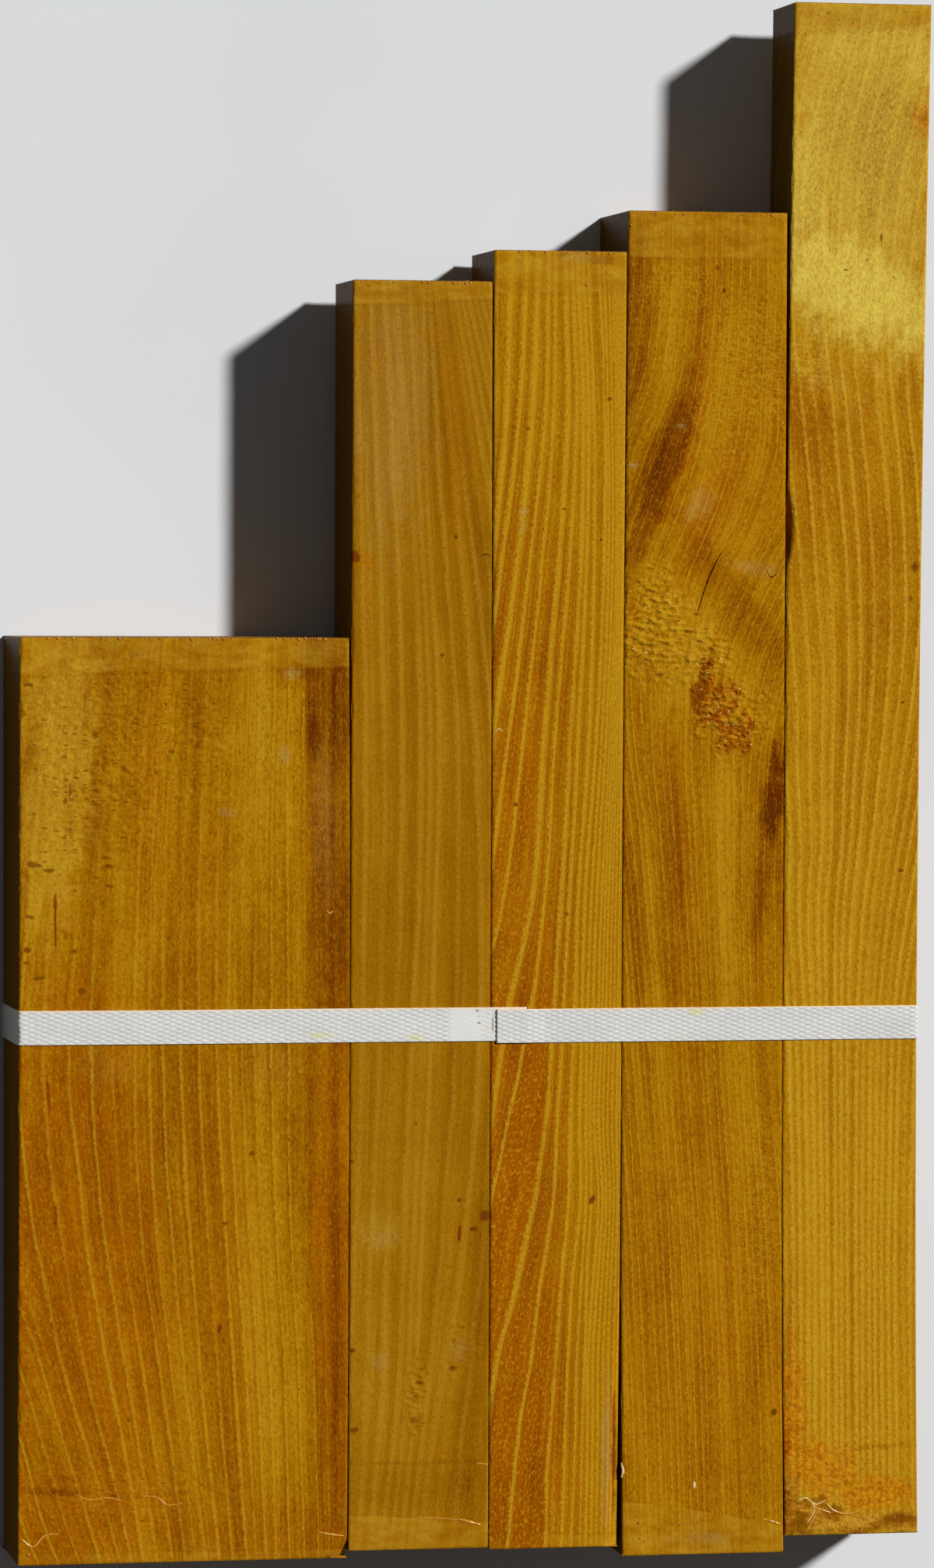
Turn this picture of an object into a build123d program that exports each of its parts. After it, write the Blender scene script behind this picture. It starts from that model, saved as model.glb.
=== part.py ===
from build123d import *
from math import hypot
import os

os.makedirs("parts", exist_ok=True)

# A pack of five rough-sawn hardwood boards, squeezed together by one embossed plastic strap.
# The pack lies on its back: X runs across the boards, Y along them from foot to head, and Z
# up, out of their front faces. The origin is on the floor, under the middle of the pack.
# The boards are numbered from the left. All sizes are in millimetres.

# Board 1 is the widest and shortest. Its back was sawn at a slant, thinner towards the foot.
board_1_width = 124.5
board_1_length = 345.0
board_1_head_thickness = 51.5
board_1_foot_thickness = 43.5
board_1_foot_rise = 2.0

# Board 2
board_2_width = 53.5
board_2_length = 476.0
board_2_thickness = 39.0
board_2_foot_rise = 4.5

# Board 3
board_3_width = 50.3
board_3_length = 488.5
board_3_thickness = 44.5
board_3_foot_rise = 3.8

# Board 4 reaches lowest, and the pack stands on it
board_4_width = 62.4
board_4_length = 507.8
board_4_thickness = 51.0

# Board 5 is the longest and thinnest
board_5_width = 52.4
board_5_length = 581.0
board_5_thickness = 35.2
board_5_foot_rise = 6.2

# The worn radius of every sharp edge, and the gap that stays where two boards are squeezed
arris = 0.8
seam_gap = 0.1

# No board is quite straight. A bow is how far a long edge has moved to the right at this
# distance from the strap, and an opening is how much further the next board has moved there.
bow_reach = 300.0
seam_1_2_head_bow = -3.7
seam_1_2_head_opening = 3.7
seam_1_2_foot_bow = -0.7
seam_1_2_foot_opening = 0.7
seam_2_3_head_bow = -0.5
seam_2_3_head_opening = 0.5
seam_3_4_head_bow = 0.7
seam_3_4_head_opening = 0.3
seam_3_4_foot_bow = -1.2
seam_3_4_foot_opening = 4.1
seam_4_5_head_opening = 1.4
seam_4_5_foot_bow = 3.8
seam_4_5_foot_opening = 1.0
right_side_head_bow = 2.0
right_side_foot_bow = 4.3

# The strap, half an inch wide, and where its middle crosses the boards above the pack's foot
strap_width = 12.7
strap_thickness = 0.6
strap_slack = 0.05
strap_height = 201.7

# The strap's joint: the end underneath, the end on top of it, and the smooth pressed stretch
joint_from_left = 191.8
joint_lap = 11.5
joint_ramp = 4.0
pressed_length = 17.5
pressed_depth = 0.12

# Wane on board 3: the rounded outside of the log, left on its right front edge by the foot
wane_width = 5.0
wane_depth = 2.5
wane_length = 110.0

# The chip out of the waney edge, and the hollow on board 5 where bark has come away
chip_width = 1.6
chip_depth = 2.5
chip_length = 8.0
chip_above_foot = 28.0
bark_width = 2.6
bark_depth = 4.0
bark_length = 30.0
bark_above_foot = 389.0

# The corner broken off board 1 by the foot
break_width = 9.0
break_height = 8.0
break_depth = 6.0

# Places along the pack
pack_length = max(
    board_1_foot_rise + board_1_length,
    board_2_foot_rise + board_2_length,
    board_3_foot_rise + board_3_length,
    board_4_length,
    board_5_foot_rise + board_5_length,
)
pack_foot = -pack_length / 2
board_1_foot = pack_foot + board_1_foot_rise
board_2_foot = pack_foot + board_2_foot_rise
board_3_foot = pack_foot + board_3_foot_rise
board_4_foot = pack_foot
board_5_foot = pack_foot + board_5_foot_rise
strap_low = pack_foot + strap_height - strap_width / 2
strap_high = strap_low + strap_width


def lean(bow, distance):
    """How far an edge with that bow has moved sideways at a distance from the strap."""
    return bow * (distance / bow_reach) ** 2


# Places across the pack. The strap stands out on the left, and board 5's head on the right.
left_reach = strap_slack + strap_thickness
right_reach = max(
    left_reach,
    lean(right_side_head_bow, board_5_foot + board_5_length - strap_high),
    lean(right_side_foot_bow, strap_low - board_5_foot),
)
boards_width = board_1_width + board_2_width + board_3_width + board_4_width + board_5_width
squeezed_width = boards_width + 4 * seam_gap
board_1_left = (left_reach - right_reach - squeezed_width) / 2
board_2_left = board_1_left + board_1_width + seam_gap
board_3_left = board_2_left + board_2_width + seam_gap
board_4_left = board_3_left + board_3_width + seam_gap
board_5_left = board_4_left + board_4_width + seam_gap

# Heights. The fronts are flush and the strap's underside lies on the floor.
board_1_slant = (board_1_head_thickness - board_1_foot_thickness) / board_1_length
board_1_below_head = board_1_foot + board_1_length - strap_high
board_1_strap_thickness = board_1_head_thickness - board_1_slant * board_1_below_head
deepest = max(
    board_1_strap_thickness,
    board_2_thickness,
    board_3_thickness,
    board_4_thickness,
    board_5_thickness,
)
front = strap_thickness + strap_slack + deepest


def rough_board(
    left, width, foot, length, thickness, left_bows=(0, 0), right_bows=(0, 0), foot_thickness=None
):
    """A sawn board, straight under the strap. Each pair of bows is for the head and the foot of a long edge."""
    right = left + width
    head = foot + length
    above = (strap_high + head) / 2
    below = (strap_low + foot) / 2
    head_left = left + lean(left_bows[0], head - strap_high)
    head_right = right + lean(right_bows[0], head - strap_high)
    foot_left = left + lean(left_bows[1], strap_low - foot)
    foot_right = right + lean(right_bows[1], strap_low - foot)
    with BuildPart() as board:
        with BuildSketch(Plane.XY.offset(front)):
            with BuildLine():
                Line((left, strap_low), (left, strap_high))
                Bezier((left, strap_high), (left, above), (head_left, head))
                Line((head_left, head), (head_right, head))
                Bezier((head_right, head), (right, above), (right, strap_high))
                Line((right, strap_high), (right, strap_low))
                Bezier((right, strap_low), (right, below), (foot_right, foot))
                Line((foot_right, foot), (foot_left, foot))
                Bezier((foot_left, foot), (left, below), (left, strap_low))
            make_face()
        extrude(amount=-thickness)
        if foot_thickness is not None:
            # The slanted back: a long wedge is sawn away
            with BuildSketch(Plane.YZ.offset(left - width)):
                Polygon(
                    (head, front - thickness),
                    (foot, front - thickness),
                    (foot, front - foot_thickness),
                    align=None,
                )
            extrude(amount=3 * width, mode=Mode.SUBTRACT)
        fillet(board.edges(), radius=arris)
    return board.part


def corner_plane(right, foot, width, height, depth):
    """The plane that cuts a right foot corner away by width and height on the front face, and by depth."""
    across = Vector(right - width, foot, front)
    along = Vector(right, foot + height, front)
    down = Vector(right, foot, front - depth)
    return Plane(origin=across, x_dir=along - across, z_dir=(along - across).cross(down - across))


def edge_hollow(edge, middle, side, length, width, depth):
    """A shallow round bite for a long front edge. Side is -1 at a board's left edge and 1 at its right."""
    slope = hypot(width, depth)
    bite = width * depth / slope
    radius = (length**2 / 4 + bite**2) / (2 * bite)
    outward = Vector(side * depth, 0, width) / slope
    centre = Vector(edge, middle, front) + outward * (radius - bite)
    with BuildPart() as hollow:
        with BuildSketch(Plane(origin=centre, x_dir=(0, 1, 0), z_dir=(-side * width, 0, depth))):
            Circle(radius)
        extrude(amount=2 * slope, both=True)
    return hollow.part


# Board 1, with its slanted back and its broken corner
board_1_foot_right = board_1_left + board_1_width + lean(seam_1_2_foot_bow, strap_low - board_1_foot)
with BuildPart() as board_1:
    add(
        rough_board(
            board_1_left,
            board_1_width,
            board_1_foot,
            board_1_length,
            board_1_head_thickness,
            right_bows=(seam_1_2_head_bow, seam_1_2_foot_bow),
            foot_thickness=board_1_foot_thickness,
        )
    )
    split(
        bisect_by=corner_plane(board_1_foot_right, board_1_foot, break_width, break_height, break_depth),
        keep=Keep.TOP,
    )
board_1.part.label = "board_1"
export_step(board_1.part, "parts/board_1.step")

# Board 2
with BuildPart() as board_2:
    add(
        rough_board(
            board_2_left,
            board_2_width,
            board_2_foot,
            board_2_length,
            board_2_thickness,
            left_bows=(
                seam_1_2_head_bow + seam_1_2_head_opening,
                seam_1_2_foot_bow + seam_1_2_foot_opening,
            ),
            right_bows=(seam_2_3_head_bow, 0),
        )
    )
board_2.part.label = "board_2"
export_step(board_2.part, "parts/board_2.step")

# Board 3, with its wane and the chip out of it
board_3_foot_right = board_3_left + board_3_width + lean(seam_3_4_foot_bow, strap_low - board_3_foot)
with BuildPart() as board_3:
    add(
        rough_board(
            board_3_left,
            board_3_width,
            board_3_foot,
            board_3_length,
            board_3_thickness,
            left_bows=(seam_2_3_head_bow + seam_2_3_head_opening, 0),
            right_bows=(seam_3_4_head_bow, seam_3_4_foot_bow),
        )
    )
    split(
        bisect_by=corner_plane(board_3_foot_right, board_3_foot, wane_width, wane_length, wane_depth),
        keep=Keep.TOP,
    )
    add(
        edge_hollow(
            board_3_foot_right, board_3_foot + chip_above_foot, 1, chip_length, chip_width, chip_depth
        ),
        mode=Mode.SUBTRACT,
    )
board_3.part.label = "board_3"
export_step(board_3.part, "parts/board_3.step")

# Board 4
with BuildPart() as board_4:
    add(
        rough_board(
            board_4_left,
            board_4_width,
            board_4_foot,
            board_4_length,
            board_4_thickness,
            left_bows=(
                seam_3_4_head_bow + seam_3_4_head_opening,
                seam_3_4_foot_bow + seam_3_4_foot_opening,
            ),
            right_bows=(0, seam_4_5_foot_bow),
        )
    )
board_4.part.label = "board_4"
export_step(board_4.part, "parts/board_4.step")

# Board 5, with the hollow left by lost bark
with BuildPart() as board_5:
    add(
        rough_board(
            board_5_left,
            board_5_width,
            board_5_foot,
            board_5_length,
            board_5_thickness,
            left_bows=(seam_4_5_head_opening, seam_4_5_foot_bow + seam_4_5_foot_opening),
            right_bows=(right_side_head_bow, right_side_foot_bow),
        )
    )
    add(
        edge_hollow(
            board_5_left + lean(seam_4_5_head_opening, pack_foot + bark_above_foot - strap_high),
            pack_foot + bark_above_foot,
            -1,
            bark_length,
            bark_width,
            bark_depth,
        ),
        mode=Mode.SUBTRACT,
    )
board_5.part.label = "board_5"
export_step(board_5.part, "parts/board_5.step")

# The strap bends round the worn edges, so the centres of its bends form the hull of the five
# sections under it, each drawn in from its faces by the arris
sections = (
    (board_1_left, board_1_width, board_1_strap_thickness),
    (board_2_left, board_2_width, board_2_thickness),
    (board_3_left, board_3_width, board_3_thickness),
    (board_4_left, board_4_width, board_4_thickness),
    (board_5_left, board_5_width, board_5_thickness),
)
with BuildSketch() as bend_centres:
    for left, width, thickness in sections:
        with Locations((left + width / 2, front - thickness / 2)):
            Rectangle(width - 2 * arris, thickness - 2 * arris)
    make_hull()

# The strap: one strip round the boards, with its right end welded on top of its left end
strap_bed = front + strap_slack
bend_inside = arris + strap_slack
under_end = board_1_left + joint_from_left
over_end = under_end - joint_lap
ramp_foot = under_end + joint_ramp
with BuildPart() as strap:
    with BuildSketch(Plane.XZ.offset(-strap_high)):
        offset(bend_centres.sketch_local, amount=bend_inside + strap_thickness, mode=Mode.ADD)
        offset(bend_centres.sketch_local, amount=bend_inside, mode=Mode.SUBTRACT)
        # The end underneath stops short of the ramp
        Polygon(
            (under_end, strap_bed - strap_slack),
            (ramp_foot, strap_bed - strap_slack),
            (ramp_foot, strap_bed + strap_thickness),
            (under_end, strap_bed + strap_thickness),
            align=None,
            mode=Mode.SUBTRACT,
        )
        # The end on top climbs the ramp and lies along the one below
        Polygon(
            (ramp_foot, strap_bed),
            (ramp_foot, strap_bed + strap_thickness),
            (under_end, strap_bed + 2 * strap_thickness),
            (over_end, strap_bed + 2 * strap_thickness),
            (over_end, strap_bed + strap_thickness),
            (under_end, strap_bed + strap_thickness),
            align=None,
        )
        # The welding tool has pressed the embossing flat beside the joint
        Polygon(
            (over_end - pressed_length, strap_bed + strap_thickness),
            (over_end, strap_bed + strap_thickness),
            (over_end, strap_bed + strap_thickness - pressed_depth),
            (over_end - pressed_length, strap_bed + strap_thickness - pressed_depth),
            align=None,
            mode=Mode.SUBTRACT,
        )
    extrude(amount=strap_width)
strap.part.label = "strap"
export_step(strap.part, "parts/strap.step")
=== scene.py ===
"""Looks of a strapped pack of five hardwood boards that lies on its back, fronts up."""

from functools import cache
from itertools import accumulate
from math import cos, pi, radians, sin

import bmesh
import bpy
import numpy as np
from mathutils import Matrix, Vector
from mathutils.bvhtree import BVHTree


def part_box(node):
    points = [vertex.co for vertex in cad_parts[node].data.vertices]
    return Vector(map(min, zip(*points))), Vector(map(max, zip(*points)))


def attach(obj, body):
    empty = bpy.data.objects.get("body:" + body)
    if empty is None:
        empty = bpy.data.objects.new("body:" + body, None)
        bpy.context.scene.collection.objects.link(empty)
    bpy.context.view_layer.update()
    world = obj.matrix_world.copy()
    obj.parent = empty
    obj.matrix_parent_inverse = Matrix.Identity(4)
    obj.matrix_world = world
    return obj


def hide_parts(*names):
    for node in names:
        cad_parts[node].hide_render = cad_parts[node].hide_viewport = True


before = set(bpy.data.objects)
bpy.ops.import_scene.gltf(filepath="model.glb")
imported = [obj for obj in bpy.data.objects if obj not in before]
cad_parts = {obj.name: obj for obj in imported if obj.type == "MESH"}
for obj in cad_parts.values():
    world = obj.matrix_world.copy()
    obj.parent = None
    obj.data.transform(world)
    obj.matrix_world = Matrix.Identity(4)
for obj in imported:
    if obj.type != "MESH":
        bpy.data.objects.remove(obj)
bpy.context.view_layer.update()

MM = 0.001

# The camera, as the photograph was taken: up to the left of the pack's middle
CAMERA_TURN = 11.0
CAMERA_TIP = 1.86
CAMERA_ROLL = -0.26
CAMERA_DISTANCE = 2403.0
CAMERA_TARGET = (-4.35, -1.27, 51.65)
CAMERA_LENS = 147.2

# The light: a soft sun from the upper right of the picture, and a dim room
SUN_DIRECTION = (0.62, 0.42, 0.80)
SUN_ON_FRONT = 0.93
SUN_WIDTH = 5.0
ROOM_LIGHT = 0.06
ROOM_SEEN = 0.80
# Half the floor's width, in metres
FLOOR_HALF = 6.0

# The boards' fronts are all in one plane
FRONT = 51.65
BOARDS = ("board_1", "board_2", "board_3", "board_4", "board_5")
# The grid of a board's front, in millimetres: its usual step, the step where the grain is torn, and the least
# step. Marks up to the fine size get a few more lines of the grid across them, at these shares of their size.
FRONT_STEP = 1.5
RELIEF_STEP = 1.25
LEAST_STEP = 0.5
FINE_MARK = 1.7
FINE_PLACES = (-0.8, -0.3, 0.3, 0.8)
# The step on the back and the sides, and how near to a board's last ring of points its end's points lie
COARSE_STEP = 6.0
END_REACH = 1.5
# How wide the worn arrises are, and where the grid has lines on them
ARRIS = 1.3
ARRIS_PLACES = (0.08, 0.25, 0.5, 0.85)
# How far under the fronts the boards' sides and ends are measured, and how far outside them the rays start
OUTLINE_DEPTH = 12.0
RAY_START = 5.0
# How deep the grain is torn out, and how deep the arrises are worn
TORN_DEPTH = 0.5
WORN_DEPTH = 0.35

# Where the growth rings' pale lines run on each front. Each line has its ring number, its width and its
# places across the pack at the heights above it.
GRAIN = {
    "board_1": {
        "heights": (53.5, 1, -52, -108.5, -157, -219, -275, -295),
        "lines": (
            (1.2, 1.0, (-166, -171.5, -177, -183, -180.5, -162.5, -145.5, -139.5)),
            (2, 1.3, (-158.5, -165, -170, -173.5, -168.5, -156, -139, -133.5)),
            (4, 1.3, (-142.5, -147.5, -152, -154, -149.5, -139, -128.5, -125)),
            (7, 1.0, (-123.5, -127, -129, -129.5, -128, -120, -112, -109.5)),
            (9, 1.2, (-114, -117, -119, -119, -116.5, -111, -104.5, -102)),
            (12, 1.2, (-96, -98, -99, -98.5, -96, -92, -88, -86.5)),
            (15, 0.9, (-82.5, -84, -84.5, -84.5, -82.5, -78.5, -76.5, -75.5)),
            (18, 0.6, (-66.5, -66.5, -66, -65, -65, -62, -60, -59.5)),
            (21, 0.6, (-47.5, -48, -48, -48, -48, -47.5, -47.5, -47.5)),
        ),
        "tilt": 0.8,
    },
    "board_2": {
        "heights": (187.5, 116, 11, -56, -120.5, -183.5, -246, -290),
        "lines": (
            (2, 2.2, (-42, -39, -36, -36.5, -38, -40.5, -42.5, -45)),
            (4, 2.0, (-32.5, -26.5, -22, -23, -26, -28, -31, -36.5)),
            (6, 1.6, (-22, -20.5, -15, -16.5, -18.5, -21.5, -24, -28.5)),
            (8, 2.4, (-17.5, -10, -1, 1.5, 0, -6, -16, -22)),
            (10, 1.8, (-13, -2, 12, 14, 12.5, 10, 6.5, 3.5)),
        ),
        "tilt": -0.4,
    },
    "board_3": {
        "heights": (194, 138, 83, 21, -46, -100, -128, -158, -187, -217, -249, -289),
        "lines": (
            (1, 2.4, (11.5, 10, 5, -2, -10, -18, -22, -26, -30, -34, -38, -42)),
            (2, 1.8, (17.5, 15, 8.5, 1, -7, -15, -19, -23, -27, -31, -35, -39)),
            (3, 2.6, (22, 20, 14.5, 6, -3, -11, -15, -19, -23.5, -27.5, -31.5, -35.5)),
            (4, 1.5, (26, 25, 19.5, 12, 3.5, -4.5, -8.5, -12.5, -16.5, -20.5, -24.5, -28.5)),
            (5, 1.4, (28.5, 28, 24, 17.5, 9.5, -3.5, -7.5, -11.5, -15.5, -19.5, -23.5, -27.5)),
            (6, 2.6, (32.5, 33.5, 30.5, 25.5, 20.5, 9.5, 5.5, 1, -3, -7, -11.5, -15)),
            (7, 1.4, (35, 37, 34.5, 29.5, 25.5, 18, 12, 5.5, -0.5, -4.5, -8.5, -12.5)),
            (8, 2.2, (37, 39.5, 39, 35.5, 32, 28.5, 26.5, 22, 16.5, 8, 3.5, -0.5)),
            (9, 1.5, (39, 41.5, 41, 38.5, 35, 32.5, 31, 29.5, 25, 21, 16, 12)),
            (10, 1.6, (41, 43.5, 44, 42.5, 38.5, 37, 36, 35.5, 33, 31, 28.5, 27)),
            (11, 1.4, (45, 48, 48, 45.5, 41, 40, 39.5, 40, 37, 35.5, 34.5, 33)),
            (12, 1.0, (47, 49, 49.5, 47.5, 43.5, 42, 42, 42, 40.5, 39, 38.5, 37)),
            (13, 1.0, (49, 50.5, 51, 49, 45.5, 44, 43.5, 44, 42.5, 42, 41, 40.5)),
            (14, 0.9, (50.5, 52, 52.5, 50.5, 47.5, 46, 45, 47, 45, 43, 43, 42.5)),
            (21, 0.7, (57, 57, 57, 57, 57, 57, 57, 57, 57, 57, 57, 57)),
        ),
        "tilt": 0.6,
    },
}


def evenly(middle, spacing, offsets, width):
    """Lines that keep their order beside a middle line, as far apart as the spacing says."""
    return tuple(
        (ring, width, tuple(m + s * offset for m, s in zip(middle, spacing)))
        for ring, offset in enumerate(offsets)
    )


GRAIN["board_4"] = {
    "heights": (214.5, 176.5, 147.5, 124, 100.5, 77, 44.5, 15.5, -20, -58, -102.5, -161.5, -235.5, -293),
    "lines": evenly(
        (100, 99.5, 97, 93, 85.5, 75.5, 66.5, 66.5, 70, 73, 76, 80.5, 84.5, 86.5),
        (3.4, 3.5, 3.7, 4.4, 4.5, 4.2, 3.7, 3.2, 2.8, 2.6, 2.5, 2.5, 2.5, 2.5),
        (-16, -14.6, -13.5, -12, -10.8, -9.6, -8.8, -7.7, -6.5, -5.7, -4.8, -3.9, -2.8, -2.1, -1, 0,
         1.1, 1.9, 3.1, 4.0, 4.8, 6.1, 7.0, 7.9, 9.2, 10.1, 11.3, 12.2, 13.4, 14.5, 16),
        0.6,
    ),
    "tilt": 0.3,
}
GRAIN["board_5"] = {
    "heights": (293, 277, 261, 225.5, 198, 168.5, 146, 108, 65.5, 35.5, 3, -23.5, -47, -85, -147.5, -287),
    "lines": evenly(
        (161.5, 158, 153.5, 145.5, 144, 144, 146, 150, 152.5, 152, 149.5, 147.5, 145, 143.5, 143.5, 145),
        (1.3, 1.3, 1.3, 1.25, 1.15, 1.05, 1, 1, 0.95, 0.85, 0.75, 0.65, 0.6, 0.5, 0.45, 0.45),
        (-77, -70, -62.5, -56, -48, -41.5, -35.1, -28.7, -22.5, -17.3, -10.5, -5.4, 0, 7.5, 13.2, 19.3,
         24.6, 30.4, 36.6, 42.7, 49.5, 56, 63, 69, 76),
        1.5,
    ),
    "tilt": -0.5,
}

# How much darker (below 0) or lighter each stretch of rings is
TONES = {
    "board_1": (
        (0, 0.0), (3, 0.05), (6, 0.0), (8, -0.05), (17.6, 0.0), (18.2, -0.3), (19.5, -0.25), (19.8, -0.45),
        (20.1, -0.3), (22, -0.05),
    ),
    "board_2": ((0, 0.0), (6, 0.1), (7, -0.2), (8, 0.05), (9, -0.15), (11, 0.0)),
    "board_3": (
        (0, 0.05), (1.2, 0.05), (1.6, -0.3), (1.9, -0.1), (2.5, -0.2), (3, 0.0), (6, -0.15), (9.5, -0.15),
        (10.5, -0.1), (12, -0.05), (21, -0.05),
    ),
    "board_4": ((0, 0.0), (10, -0.05), (15, 0.0), (20, 0.05)),
    "board_5": ((0, -0.1), (8, 0.0), (9, 0.05), (9.6, -0.2), (10.5, -0.05), (20, -0.1)),
}

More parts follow.
